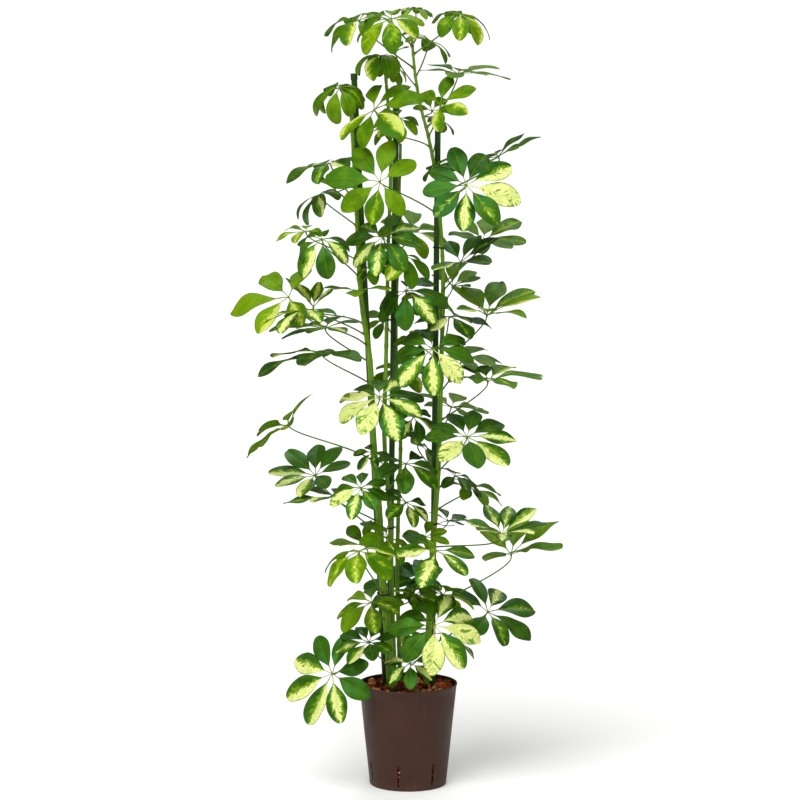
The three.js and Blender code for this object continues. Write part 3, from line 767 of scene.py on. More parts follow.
# The undersides' paler, yellower greens are partly a real underside's colour and partly painted light shining
# through the leaf
UNDER = {
    Tint.GREEN: BladeFinish("green_underside", "406C00", "6C9402", "92B020", "DCE470", "98B41C", **DULL),
    Tint.CREAM: BladeFinish("cream_underside", "447402", "729A04", "9AB824", "E6EE80", "A0BC24", **DULL),
    Tint.YOUNG: BladeFinish(
        "young_underside", "5E8E00", "88AE04", "A8C420", "E2EA74", "B4CC28", **(DULL | {"through": 0.45})),
}
PETIOLE_SKIN = StalkFinish("leaf_stalk", "3C5E06", "66861A", "504A1C", roughness=0.45, scars=0.2)
STEM_SKIN = StalkFinish("green_bark", "4C8000", "7CA408", "6C7818", roughness=0.5, scars=0.6)


def rings(count: int, sides: int) -> Array:
    """Gives the four-cornered faces between rings of points.

    Args:
        count: How many rings there are.
        sides: How many points a ring has.

    Returns:
        The faces' corners.
    """
    r, s = np.meshgrid(np.arange(count - 1) * sides, np.arange(sides), indexing="ij")
    t = (s + 1) % sides
    return np.stack([r + s, r + t, r + sides + t, r + sides + s], -1).reshape(-1, 4)


class Skin:
    """Points, faces and values gathered for one mesh, in millimetres."""

    def __init__(self, **widths: int) -> None:
        """Starts with nothing.

        Args:
            widths: How many numbers each value of a point has, by the value's name.
        """
        self.widths = widths
        self.points: list[Array] = []
        self.faces: list[Array] = []
        self.materials: list[Array] = []
        self.values: dict[str, list[Array]] = {name: [] for name in widths}
        self.count = 0

    def add(self, points: Array, faces: list[tuple[Array, int]], **values: Array | float) -> None:
        """Adds a patch of surface.

        Args:
            points: One row for each point.
            faces: Arrays of corners, counted from the patch's first point, each with its material's number.
            values: What the points hold besides their place.
        """
        for corners, material in faces:
            self.faces.append(corners + self.count)
            self.materials.append(np.full(len(corners), material, np.int32))
        for name, width in self.widths.items():
            given = np.asarray(values.get(name, np.zeros(width)), float).reshape(-1, width)
            self.values[name].append(np.broadcast_to(given, (len(points), width)))
        self.points.append(points)
        self.count += len(points)

    def close(self, rows: Array, ends: list, material: int = 0, **values: Array | float) -> None:
        """Adds a closed surface of rings.

        Args:
            rows: The points, ring by ring.
            ends: The points that close the first and the last ring.
            material: Its material's number.
            values: What the points hold besides their place, the ends last.
        """
        count, sides = rows.shape[:2]
        s = np.arange(sides)
        t = (s + 1) % sides
        last, end = (count - 1) * sides, np.full(sides, count * sides)
        low = np.stack([t, s, end], -1)
        high = np.stack([last + s, last + t, end + 1], -1)
        faces = [(corners, material) for corners in (rings(count, sides), low, high)]
        self.add(np.concatenate([rows.reshape(-1, 3), ends]), faces, **values)

    def tube(self, line: Array, radii: Array, sides: int, material: int = 0, **values: Array) -> None:
        """Adds a round tube with rounded ends along a line.

        Args:
            line: The line's points.
            radii: The tube's radius at each point.
            sides: How many sides it has.
            material: Its material's number.
            values: What the points hold besides their place, one number for each ring.
        """
        # Each end has one more ring and a point, at these shares of the radius
        reach, narrow, dome = 0.35, 0.55, 0.3
        steep = 0.9
        ahead = np.gradient(line, axis=0)
        ahead /= np.linalg.norm(ahead, axis=1)[:, None]
        across = np.zeros_like(line)
        upright = abs(ahead[0][2]) >= steep
        across[0] = unit(np.cross(ahead[0], (0.0, 1.0, 0.0) if upright else (0.0, 0.0, 1.0)))
        for k in range(1, len(line)):
            across[k] = unit(across[k - 1] - ahead[k] * (across[k - 1] @ ahead[k]))
        ways = np.stack([across, np.cross(ahead, across)], 1)
        first, last = ahead[:1] * radii[0] * reach, ahead[-1:] * radii[-1] * reach
        line = np.concatenate([line[:1] - first, line, line[-1:] + last])
        radii = np.concatenate([radii[:1] * narrow, radii, radii[-1:] * narrow])
        ways = np.concatenate([ways[:1], ways, ways[-1:]])
        rows = line[:, None] + circle(sides) @ ways * radii[:, None, None]
        ends = [line[0] - ahead[0] * radii[0] * dome, line[-1] + ahead[-1] * radii[-1] * dome]
        held = {}
        for key, value in values.items():
            value = np.concatenate([value[:1], value, value[-1:]])
            held[key] = np.concatenate([np.repeat(value, sides), value[:1], value[-1:]])
        self.close(rows, ends, material, **held)

    def piece(self, name: str, materials: list[Material], sharp: Array | None = None) -> Piece:
        """Makes the object.

        Args:
            name: Its name.
            materials: Its materials, in the order that the faces number them.
            sharp: For each point, whether the edges between such points are sharp.

        Returns:
            The object, in metres.
        """
        mesh = bpy.data.meshes.new(name)
        points = np.concatenate(self.points) * MM
        mesh.vertices.add(len(points))
        mesh.vertices.foreach_set("co", points.astype(np.float32).ravel())
        sizes = np.concatenate([np.full(len(f), f.shape[1], np.int32) for f in self.faces])
        corners = np.concatenate([f.ravel() for f in self.faces]).astype(np.int32)
        mesh.loops.add(len(corners))
        mesh.loops.foreach_set("vertex_index", corners)
        mesh.polygons.add(len(sizes))
        mesh.polygons.foreach_set("loop_start", (np.cumsum(sizes) - sizes).astype(np.int32))
        mesh.polygons.foreach_set("material_index", np.concatenate(self.materials))
        mesh.polygons.foreach_set("use_smooth", np.ones(len(sizes), bool))
        mesh.update(calc_edges=True)
        for key, width in self.widths.items():
            whole = np.concatenate(self.values[key]).astype(np.float32)
            kind, part = ("FLOAT", "value") if width == 1 else ("FLOAT_VECTOR", "vector")
            mesh.attributes.new(key, kind, "POINT").data.foreach_set(part, whole.ravel())
        if sharp is not None:
            ends = np.zeros(len(mesh.edges) * 2, np.int32)
            mesh.edges.foreach_get("vertices", ends)
            marks = sharp[ends.reshape(-1, 2)].all(axis=1)
            mesh.attributes.new("sharp_edge", "BOOLEAN", "EDGE").data.foreach_set("value", marks)
        for material in materials:
            mesh.materials.append(material)
        made = bpy.data.objects.new(name, mesh)
        bpy.context.scene.collection.objects.link(made)
        return made


def settle(made: Piece, node: str) -> None:
    """Tells the frame what a piece rides on, hides the solid that it stands for and logs its triangles.

    Args:
        made: The piece.
        node: The solid that it replaces.
    """
    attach(made, BODY)
    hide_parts(node)
    triangles = sum(len(p.vertices) - 2 for p in made.data.polygons)
    LOG.info("%s: %d triangles, for %s", made.name, triangles, node)


@dataclass
class Pot:
    """The culture pot: a thin tapering wall, a flat floor and drain slits round its foot."""

    height: float = 193
    top_radius: float = 92
    base_radius: float = 72
    wall: float = 2.2
    floor: float = 3
    bevel: float = 2
    rim_height: float = 5
    rim_slope: float = 1.2
    lip: float = 0.6
    slits: int = 7
    slit_width: float = 6
    slit_bottom: float = 9
    slit_height: float = 40
    slit_turn: float = -13.5
    slit_depth: float = 9
    slit_steps: int = 15
    # Shares of a slit's half width: the torn edge's least and most, its foot, its rise from there, its top
    tear: Pair = (0.35, 1.05)
    slit_foot: float = 0.3
    slit_rise: float = 3
    slit_top: float = 0.5
    tear_seed: int = 3
    sharp_angle: float = 38
    sides: int = 168
    wall_steps: int = 12
    arc_steps: int = 6

    def radius(self, z: float) -> float:
        """Gives the outer radius at a height."""
        return self.base_radius + (self.top_radius - self.base_radius) * z / self.height

    def slit_angle(self, k: int) -> float:
        """Gives how far slit k is turned from the front, in radians."""
        return math.radians(self.slit_turn) + 2 * math.pi * k / self.slits

    def outline(self) -> list[Pair]:
        """Gives the wall's section from the foot's corner round to the edge of the floor.

        Returns:
            The radius and the height of each point.
        """
        rim = self.top_radius + self.lip
        shoulder = self.height - self.rim_height
        half = self.wall / 2
        turn = quarter(self.arc_steps)
        foot = [(self.radius(0) - self.bevel * a, self.bevel * b) for a, b in turn]
        edge = [(rim - half * b, self.height - half * a) for a, b in turn]
        back = [(self.top_radius - self.wall + half * a, self.height - half * b) for a, b in turn]
        walls = [(self.radius(z), z) for z in np.linspace(self.bevel * 2, shoulder, self.wall_steps)]
        inside = (self.radius(self.floor) - self.wall, self.floor)
        return [*foot, *walls, (rim, shoulder + self.rim_slope), *edge, *back, inside]

    def uncut(self) -> Piece:
        """Makes the pot before its slits are cut.

        Returns:
            The uncut pot.
        """
        skin = Skin()
        skin.close(turned(self.outline(), self.sides), [(0, 0, 0), (0, 0, self.floor)])
        return skin.piece("culture_pot", [PotFinish().material()])

    def cutter(self) -> Piece:
        """Makes the slots that are cut from the wall, with torn edges.

        Returns:
            All of them as one object.
        """
        draws = random.Random(self.tear_seed)
        heights = np.linspace(self.slit_bottom, self.slit_bottom + self.slit_height, self.slit_steps)
        steps = np.arange(2 * self.slit_steps)
        ends = np.minimum(1.0, self.slit_foot + self.slit_rise * steps / self.slit_steps)
        out = self.radius(self.slit_bottom)
        skin = Skin()
        for k in range(self.slits):
            torn = np.array([self.slit_width / 2 * draws.uniform(*self.tear) for _ in ends]) * ends
            right, left = torn.reshape(2, -1)
            right[-1] *= self.slit_top
            left[-1] *= self.slit_top
            outline = [*zip(right, heights), *zip(-left[::-1], heights[::-1])]
            depths = (-self.slit_depth - out, self.slit_depth - out)
            flat = np.array([(x, y, z) for y in depths for x, z in outline])
            a = self.slit_angle(k)
            turn = np.array(((math.cos(a), math.sin(a), 0), (-math.sin(a), math.cos(a), 0), (0, 0, 1)))
            loop = np.arange(len(outline))
            back = (loop + len(loop))[None, ::-1]
            skin.add(flat @ turn, [(rings(2, len(loop))[:, ::-1], 0), (loop[None], 0), (back, 0)])
        return skin.piece("slots", [PotFinish().material()])

    def build(self) -> None:
        """Makes the cut pot."""
        made = self.uncut()
        cutter = self.cutter()
        cut = made.modifiers.new("slits", "BOOLEAN")
        cut.object = cutter
        cut.operation = "DIFFERENCE"
        cut.solver = "EXACT"
        ready = made.evaluated_get(bpy.context.evaluated_depsgraph_get())
        mesh = bpy.data.meshes.new_from_object(ready)
        made.modifiers.clear()
        made.data = mesh
        bpy.data.objects.remove(cutter)
        mesh.set_sharp_from_angle(angle=math.radians(self.sharp_angle))
        settle(made, "pot")


@dataclass
class Stem:
    """One stem: a tapering green rod with the rings of fallen leaves, along a smooth line."""

    name: str
    radii: Pair
    line: tuple[tuple[float, float, float], ...]
    sides: int = 18
    pitch: float = 3
    swelling: float = 0.6
    swelling_reach: float = 3.5
    groove: float = 0.35
    groove_reach: float = 0.9
    scar_reach: float = 1.5
    between: float = 34
    between_play: Pair = (0.7, 1.3)
    between_least: float = 0.4
    bark_ends: Pair = (2, 1)

    def centre(self, z: float) -> Array:
        """Gives the solid's centre at a height."""
        x, y, heights = np.array(self.line, float).T
        return np.array((np.interp(z, heights, x), np.interp(z, heights, y), z))

    def radius(self, z: float | Array) -> float | Array:
        """Gives the radius at a height."""
        low, high = self.line[0][2], self.line[-1][2]
        return self.radii[0] + (self.radii[1] - self.radii[0]) * (z - low) / (high - low)

    def smooth(self, heights: Array) -> Array:
        """Gives the centre at many heights, on a curve through the line's points.

        Args:
            heights: The heights, rising.

        Returns:
            One point for each height.
        """
        points = np.array(self.line, float)
        z = points[:, 2]
        slopes = np.gradient(points[:, :2], z, axis=0)
        k = np.clip(np.searchsorted(z, heights) - 1, 0, len(z) - 2)
        gap = (z[k + 1] - z[k])[:, None]
        t = ((heights - z[k]) / gap[:, 0])[:, None]
        a, b = points[k, :2], points[k + 1, :2]
        ease = 3 * t**2 - 2 * t**3
        bend = gap * ((t**3 - 2 * t**2 + t) * slopes[k] + (t**3 - t**2) * slopes[k + 1])
        return np.concatenate([a + (b - a) * ease + bend, heights[:, None]], 1)

    def scars(self, bases: list[float], low: float, high: float) -> Array:
        """Draws the heights of the rings that fallen leaves left.

        Args:
            bases: The heights where leaves grow from it.
            low: The bark's lower end.
            high: Its upper end.

        Returns:
            The heights of the leaves and of the rings between them.
        """
        draws = random.Random(self.name)
        marks = list(bases)
        z = low
        while z < high - self.between:
            z += self.between * draws.uniform(*self.between_play)
            if min(abs(z - m) for m in marks) > self.between * self.between_least:
                marks.append(z)
        return np.array(marks)

    def build(self, bases: list[float]) -> None:
        """Makes the bare stem.

        Args:
            bases: The heights where leaves grow from it.
        """
        low, high = self.line[0][2] + self.bark_ends[0], self.line[-1][2] + self.bark_ends[1]
        heights = np.linspace(low, high, int((high - low) / self.pitch))
        near = np.abs(heights[:, None] - self.scars(bases, low, high)[None]).min(axis=1)
        radii = self.radius(heights) + self.swelling * np.exp(-((near / self.swelling_reach) ** 2))
        radii -= self.groove * np.exp(-((near / self.groove_reach) ** 2))
        skin = Skin(stem_scar=1)
        skin.tube(self.smooth(heights), radii, self.sides, stem_scar=np.exp(-((near / self.scar_reach) ** 2)))
        settle(skin.piece(self.name + "_stem_bark", [STEM_SKIN.material()]), self.name + "_stem")


@dataclass
class Stake:
    """One stake: a green-skinned tube with a round-shouldered cap on its head."""

    name: str
    foot: tuple[float, float, float]
    head: tuple[float, float, float]
    radius: float = 5.5
    cap_radius: float = 6.4
    cap_height: float = 12
    cap_bevel: float = 2
    cap_top: float = 3.2
    cap_lip: float = 0.4
    tube_start: float = 30
    sides: int = 32
    cap_foot: tuple[float, float, float] = (0.6, 0.5, 0.3)
    arc_steps: int = 5
    tube_steps: int = 24
    sharp_angle: float = 50

    def at(self, z: float) -> Array:
        """Gives the centre at a height."""
        a, b = np.array(self.foot, float), np.array(self.head, float)
        return a + (b - a) * (z - a[2]) / (b[2] - a[2])

    def section(self, length: float) -> list[Pair]:
        """Gives the distance from the foot and the radius of each ring.

        Args:
            length: The stake's length.

        Returns:
            The rings, from the foot to the head.
        """
        cap = length - self.cap_height
        # The tube reaches just under the cap, whose lower edge is chamfered
        tube_end, lip_foot, lip_edge = (cap - under for under in self.cap_foot)
        tube = [(0.0, self.radius)]
        tube += [(d, self.radius) for d in np.linspace(self.tube_start, tube_end, self.tube_steps)]
        lip = [(lip_foot, self.radius), (lip_edge, self.cap_radius - self.cap_lip), (cap, self.cap_radius)]
        turn = quarter(self.arc_steps)
        shoulder = [(length - self.cap_bevel * a, self.cap_radius - self.cap_bevel * b) for a, b in turn]
        return [*tube, *lip, *shoulder, (length, self.cap_radius - self.cap_top)]

    def build(self) -> None:
        """Makes the tube and its cap."""
        a, b = np.array(self.foot, float), np.array(self.head, float)
        length = float(np.linalg.norm(b - a))
        ahead = (b - a) / length
        across = unit(np.cross(ahead, (0.0, 1.0, 0.0)))
        ring = circle(self.sides) @ np.stack([across, np.cross(ahead, across)])
        skin = Skin()
        skin.close(np.array([a + ahead * d + ring * r for d, r in self.section(length)]), [a, b])
        made = skin.piece(self.name + "_stake_tube", [StakeFinish().material()])
        made.data.set_sharp_from_angle(angle=math.radians(self.sharp_angle))
        settle(made, self.name + "_stake")


@dataclass
class Tie:
    """Two turns of wire round a stem and a stake, with two free ends at the right."""

    name: str
    stem: Stem
    stake: Stake
    z: float
    ends: float
    wire: float = 0.8
    slack: float = 0.5
    turns: int = 2
    arc_steps: int = 12
    end_steps: int = 9
    # Ends past this length are long ones. Each end has its angle above level and its share of the length.
    long: float = 20
    long_ends: tuple[Pair, ...] = ((14, 1.0), (-4, 0.92))
    short_ends: tuple[Pair, ...] = ((30, 1.0), (-25, 0.8))
    end_forward: float = 0.12
    end_bow: float = 0.06
    end_wire: float = 0.95
    sides: int = 10

    def loop(self) -> Array:
        """Gives the line of the turns, close round the stem and the stake.

        Returns:
            The line's points.
        """
        a = self.stem.smooth(np.array([float(self.z)]))[0]
        b = self.stake.at(self.z)
        heading = math.atan2(b[1] - a[1], b[0] - a[0])
        arcs = ((a, self.stem.radius(self.z), heading + math.pi), (b, self.stake.radius, heading))
        points = []
        for centre, radius, middle in arcs * self.turns:
            reach = radius + self.slack + self.wire
            for k in range(self.arc_steps):
                angle = middle + math.pi * (k / (self.arc_steps - 1) - 0.5)
                points.append((centre[0] + reach * math.cos(angle), centre[1] + reach * math.sin(angle), 0.0))
        line = np.array(points)
        line[:, 2] = self.z + np.linspace(-1, 1, len(line)) * self.wire
        return line

    def build(self) -> None:
        """Makes the turns and the two free ends."""
        skin = Skin()
        line = self.loop()
        skin.tube(line, np.full(len(line), self.wire), self.sides)
        corner = line[np.argmax(line[:, 0])]
        t = np.linspace(0, 1, self.end_steps)[:, None]
        for lift, share in self.long_ends if self.ends > self.long else self.short_ends:
            a = math.radians(lift)
            way = np.array((math.cos(a), -self.end_forward, math.sin(a)))
            bow = np.array((0, 0, math.copysign(self.ends * self.end_bow, lift)))
            end = corner + way * self.ends * share * t + bow * np.sin(math.pi * t)
            skin.tube(end, np.full(len(end), self.wire * self.end_wire), self.sides)
        settle(skin.piece(self.name + "_wire", [WireFinish().material()]), self.name)


@dataclass
class Granules:
    """The bed of fired clay granules: a core of painted shade, granules heaped on it and some behind each
    slit.
    """

    pot: Pot
    rods: list[tuple[Array, float]]
    level: float = 185
    under_drop: float = 6.5
    loose_rise: float = 4.5
    core_drop: float = 11
    core_gap: float = 1.4
    core_sides: int = 48
    # The core's tone lies at the near black end of the clay's tones, as painted shade between the granules
    core_shade_tone: float = 0.02
    core_lift: float = 0.4
    wall_gap: float = 0.6
    rod_cover: float = 1.5
    sunk: float = 0.5
    unevenness: float = 1.6
    sizes: tuple[float, ...] = (6.9, 6.2, 5.6, 5.0, 4.4, 3.8)
    tries: int = 420
    loose_tries: int = 14
    crowding: float = 0.86
    size_play: Pair = (0.92, 1.06)
    stretch: Pair = (0.76, 1.22)
    roughness: float = 0.36
    # How fine and how deep each layer of lumps is
    lumps: tuple[Pair, ...] = ((1.1, 1.0), (2.6, 0.45))
    shift_span: float = 90
    # Behind a slit: the lowest granule's foot over the slit's, then radii, and the rest in shares of a radius
    slit_start: float = 1.0
    slit_sizes: Pair = (2.6, 4.0)
    slit_lift: float = 0.9
    slit_inset: float = 1.1
    slit_gaps: Pair = (0.9, 1.6)
    slit_tones: Pair = (0.15, 0.85)
    slit_play: float = 0.03
    seed: int = 7

    def __post_init__(self) -> None:
        """Prepares a round granule to shape the others from."""
        self.draws = random.Random(self.seed)
        self.skin = Skin(clay_tone=1)
        ball = bmesh.new()
        bmesh.ops.create_icosphere(ball, subdivisions=2, radius=1.0)
        self.ball = np.array([v.co for v in ball.verts])
        self.ball_faces = np.array([[v.index for v in f.verts] for f in ball.faces], np.int32)
        ball.free()

    def granule(self, place: Array, radius: float, tone: float | None = None) -> None:
        """Adds one granule.

        Args:
            place: Its centre.
            radius: Its mean radius.
            tone: Its place in the row of tones, if it isn't drawn.
        """
        draws = self.draws
        shift = Vector([draws.uniform(0, self.shift_span) for _ in range(3)])
        stretch = np.array([draws.uniform(*self.stretch) for _ in range(3)])
        lumps = np.zeros(len(self.ball))
        for fine, depth in self.lumps:
            lumps += [noise.noise(Vector(p) * fine + shift) * depth for p in self.ball]
        points = self.ball * stretch * (1 + self.roughness * lumps[:, None]) * radius
        tone = draws.random() if tone is None else tone
        self.skin.add(place + points, [(self.ball_faces, 0)], clay_tone=tone)

    def heap(self, level: float, sizes: tuple[float, ...], tries: int) -> None:
        """Throws granules on a level until no more find room.

        Args:
            level: The height of the bed that they make.
            sizes: Their radii, the largest first.
            tries: How many throws each size has.
        """
        inner = self.pot.radius(level) - self.pot.wall - self.wall_gap
        placed = [(p[0], p[1], r - self.rod_cover) for p, r in self.rods]
        first = len(placed)
        for size in sizes:
            for _ in range(tries):
                radius = size * self.draws.uniform(*self.size_play)
                out = (inner - radius) * math.sqrt(self.draws.random())
                angle = self.draws.uniform(0, 2 * math.pi)
                x, y = out * math.cos(angle), out * math.sin(angle)
                if all(math.dist((x, y), (a, b)) > (radius + c) * self.crowding for a, b, c in placed):
                    placed.append((x, y, radius))
        for x, y, radius in placed[first:]:
            lift = self.draws.uniform(-self.unevenness, self.unevenness)
            self.granule(np.array((x, y, level - radius * self.sunk + lift)), radius)
        LOG.info("%d granules at %.1f mm", len(placed) - first, level)

    def behind_slits(self) -> None:
        """Adds the granules that show through the drain slits."""
        pot = self.pot
        for k in range(pot.slits):
            z = pot.slit_bottom + self.slit_start
            while z < pot.slit_bottom + pot.slit_height:
                radius = self.draws.uniform(*self.slit_sizes)
                z += radius * self.slit_lift
                out = pot.radius(z) - pot.wall - radius * self.slit_inset
                angle = pot.slit_angle(k) + self.draws.uniform(-self.slit_play, self.slit_play)
                place = np.array((out * math.sin(angle), -out * math.cos(angle), z))
                self.granule(place, radius, self.draws.uniform(*self.slit_tones))
                z += radius * self.draws.uniform(*self.slit_gaps)

    def core(self) -> None:
        """Adds the body of the bed under the granules that show, near black as painted shade in the gaps."""
        pot = self.pot
        low, high = pot.floor + self.core_lift, self.level - self.core_drop
        inset = pot.wall + self.core_gap
        section = [(pot.radius(pot.floor) - inset, low), (pot.radius(high) - inset, high)]
        ends = [(0, 0, low), (0, 0, high)]
        self.skin.close(turned(section, self.core_sides), ends, clay_tone=self.core_shade_tone)

    def build(self) -> None:
        """Makes the whole bed."""
        self.core()
        self.heap(self.level - self.under_drop, self.sizes[1:4], self.tries)
        self.heap(self.level, self.sizes, self.tries)
        self.heap(self.level + self.loose_rise, self.sizes[1:5], self.loose_tries)
        self.behind_slits()
        settle(self.skin.piece("clay_bed", [ClayFinish().material()]), "clay_granules")


@dataclass(frozen=True)
class Leaflet:
    """One leaflet's direction round the hub in degrees, and the arc of its midrib."""

    angle: float
    length: float
    rise: float
    droop: float
    roll: float
    step: float

    def midrib(self, s: Array | float) -> tuple[Array, Array, Array]:
        """Follows the midrib, which is an arc.

        Args:
            s: Shares of its length.

        Returns:
            How far out and up it is at each, and its slope in radians.
        """
        a, d = math.radians(self.rise), math.radians(self.droop)
        out = self.length * (math.sin(a) - np.sin(a - d * s)) / d
        up = self.length * (np.cos(a - d * s) - math.cos(a)) / d
        return out, up, a - d * s


@dataclass(frozen=True)
class BladeShape:
    """The outline and relief that all leaflets share.

    The stalk's half width, the keel and the edge are in millimetres and the fold is in degrees. The rest are
    powers, or shares of the length or the half width.
    """

    rows: tuple[float, ...] = (
        0, 0.05, 0.1, 0.13, 0.165, 0.205, 0.25, 0.305, 0.365, 0.43, 0.5, 0.57, 0.64, 0.71, 0.775, 0.835,
        0.885, 0.925, 0.955, 0.978, 0.992, 1,
    )
    columns: tuple[float, ...] = (-1, -0.86, -0.62, -0.34, -0.1, 0, 0.1, 0.34, 0.62, 0.86, 1)
    width: float = 0.44
    fill: float = 1.04
    widest: float = 0.6
    stalk: float = 0.19
    stalk_half: float = 0.7
    keel: float = 1.0
    edge: float = 0.28
    fold: float = 17
    wave: float = 0.03
    bend: float = 0.05
    stalk_under: float = 0.6
    keel_end: float = 1.05
    blunt: Pair = (0.95, 0.42)
    lean: float = 1.22
    flatten: Pair = (0.6, 0.35)
    wave_edge: float = 1.6
    wave_lag: float = 0.9
    wave_rise: float = 2.2
    groove: float = 0.15

    def half_width(self, s: Array, half: float) -> Array:
        """Gives the half width at shares of the length.

        Args:
            s: The shares.
            half: The half width where the blade is widest.

        Returns:
            The half widths.
        """
        t = np.clip((s - self.stalk) / (1 - self.stalk), 0, 1)
        blade = np.sin(math.pi * t**self.lean) ** (self.blunt[0] - self.blunt[1] * t)
        return self.stalk_half * np.sqrt(1 - t) + (half - self.stalk_half * self.stalk_under) * blade

    def gather(self, top: Array, low: Array) -> Array:
        """Puts what the upper and the under face's grids hold in the order of a leaflet's points.

        Args:
            top: The upper face's grid, whose edge both share.
            low: The under face's grid.

        Returns:
            One row for each point, the tip last.
        """
        width = top.shape[-1]
        inner = low[1:-1, 1:-1].reshape(-1, width)
        return np.concatenate([top[:-1].reshape(-1, width), inner, top[-1:, len(self.columns) // 2]])

    def corners(self) -> list[tuple[Array, int]]:
        """Numbers the faces of a leaflet, whose two faces share their edge.

        Returns:
            The corners of the upper and the under face, then of their tips, each with its material's number.
        """
        rows, columns = len(self.rows) - 1, len(self.columns)
        top = np.arange(rows * columns).reshape(rows, columns)
        low = top.copy()
        inner = (rows - 1) * (columns - 2)
        low[1:, 1:-1] = rows * columns + np.arange(inner).reshape(rows - 1, columns - 2)
        tip = np.full(columns - 1, rows * columns + inner)
        sheets, tips = [], []
        for grid in (top, low):
            round_each = [grid[:-1, :-1], grid[1:, :-1], grid[1:, 1:], grid[:-1, 1:]]
            sheets.append(np.stack(round_each, -1).reshape(-1, 4))
            tips.append(np.stack([grid[-1, :-1], tip, grid[-1, 1:]], -1))
        return [(sheets[0], 0), (sheets[1][:, ::-1], 1), (tips[0], 0), (tips[1][:, ::-1], 1)]


@dataclass(frozen=True)
class Variety:
    """How far leaflets differ."""

    # In degrees
    angle: float = 1.5
    alternate: float = 3
    rise: float = 2
    roll: float = 8
    # In shares of what they would be
    shorter: float = 0.28
    length: float = 0.05
    droop: float = 0.15
    fold: Pair = (0.5, 1.4)
    wave: Pair = (0.3, 1.2)
    # How many waves the edge has and where they start, in radians
    wave_count: Pair = (1.1, 1.9)
    wave_start: float = 6.28
    # Where the clouds of its colour are read, and how light its green is by itself and with its leaf
    place: float = 50
    tone: Pair = (0.15, 0.75)
    leaf_tone: float = 0.12


SHAPE = BladeShape()
VARIETY = Variety()
LEAFLET_FACES = SHAPE.corners()

# Degrees between the leaflets of a leaf, by how many it has
LEAFLET_STEPS = {5: 56, 6: 50, 7: 45, 8: 42, 9: 40}

# The least and the most cream that a leaflet may draw
CREAM_RANGES = {Tint.GREEN: (-0.6, 0.4), Tint.CREAM: (-0.35, 0.75), Tint.YOUNG: (-0.6, 0.3)}

# How often each pattern is drawn, how much less cream a leaflet has that points up, and the least that shows.
# The cream by slope is partly real variegation and partly painted light: leaflets that point down are made
# paler as if lit through.
CREAM_WEIGHTS = {Pattern.MIDDLE: 5, Pattern.HALF: 3, Pattern.SPLASH: 2}
CREAM_AND_LIGHT_BY_SLOPE = 0.5
LEAST_CREAM = -0.1

# The cream of the large leaves in front, by the hour of the clock that a leaflet points to, from one to
# twelve: p plain, t a thin streak, m the middle, h the lower half, s nearly all of it
CREAM_CLOCKS = {
    "right_leaf_1": "phsstmttpppp", "right_leaf_12": "ppmhhpsspppp", "slender_leaf_6": "mmsshssppppp",
    "left_leaf_8": "pmpmmtsssppp", "left_leaf_16": "ppppmmhhhppp", "right_leaf_6": "pppssmsmpppp",
    "right_leaf_19": "mttpttpppppm", "left_leaf_1": "pppmmphhpppp", "right_leaf_3": "ppppptpppppp",
    "slender_leaf_1": "ppppppmmmppp", "slender_leaf_2": "pppmmppppppp",
    "left_leaf_10": "pppptmmspppp", "middle_leaf_1": "ppppphhmhppp",
}
CREAM_SHARES = {
    "p": (Pattern.PLAIN, 0.0), "t": (Pattern.MIDDLE, 0.12), "m": (Pattern.MIDDLE, 0.6),
    "h": (Pattern.HALF, 0.45), "s": (Pattern.SPLASH, 1.05),
}

# The cream at the midrib's foot, and what the amount, the edges, the half that has more and the tip change
CREAM_LEVELS = {
    Pattern.PLAIN: (-0.4, 0, 0, 0, 0),
    Pattern.MIDDLE: (0.28, 0.75, -0.85, 0, 0),
    Pattern.HALF: (0.16, 0.6, 0, 0.6, 0),
    Pattern.SPLASH: (0.1, 0.6, 0, 0, -0.2),
}
CREAM_EDGE = 1.3


@dataclass(frozen=True)
class PetioleShape:
    """The line of a petiole and its radii, in millimetres.

    It leaves the stem at an angle in degrees. Its pulls are shares of its reach, and its clasp is a share of
    the stem's radius.
    """

    gap: float = 0.3
    sunk: float = 1.5
    clasp: float = 0.6
    leave: float = 35
    foot_pull: float = 0.3
    neck_pull: float = 0.14
    neck: float = 4
    knob: Pair = (-1.5, 0.4)
    steps: int = 22
    radius: float = 1.2825
    taper: float = 0.3375
    foot_bulge: float = 1.25
    foot_reach: float = 5
    knob_bulge: float = 0.95
    knob_reach: float = 3.2
    # A small leaf's share of these radii: the least, and the length of leaflet that adds a whole to it
    slim: Pair = (0.62, 240)
    sides: int = 10

    def curve(self, foot: Array, level: Array, hub: Array, up: Array) -> Array:
        """Gives the curve from the stem to the neck under the hub.

        Args:
            foot: Where it leaves the stem.
            level: Its level direction there.
            hub: The hub.
            up: The way the leaf's upper face looks.

        Returns:
            The curve's points.
        """
        neck = hub - up * self.neck
        reach = np.linalg.norm(neck - foot)
        b = foot + swung(level, np.array((0.0, 0.0, 1.0)), self.leave) * reach * self.foot_pull
        c = neck - up * reach * self.neck_pull
        t = np.linspace(0, 1, self.steps)[:, None]
        return foot * (1 - t) ** 3 + 3 * b * t * (1 - t) ** 2 + 3 * c * t**2 * (1 - t) + neck * t**3

    def radii(self, line: Array, length: float) -> Array:
        """Gives the radius at each point of a line, thicker at the clasping foot and the knob.

        Args:
            line: The line's points.
            length: The length of the leaf's longest leaflet, as small leaves have thin petioles.

        Returns:
            The radii.
        """
        slim = min(1.0, self.slim[0] + length / self.slim[1])
        along = np.concatenate([[0], np.cumsum(np.linalg.norm(np.diff(line, axis=0), axis=1))])
        rod = self.radius + self.taper * (1 - along / along[-1])
        foot = self.foot_bulge * np.exp(-((along / self.foot_reach) ** 2))
        knob = self.knob_bulge * np.exp(-(((along[-1] - along) / self.knob_reach) ** 2))
        return (rod + foot + knob) * slim


PETIOLE = PetioleShape()


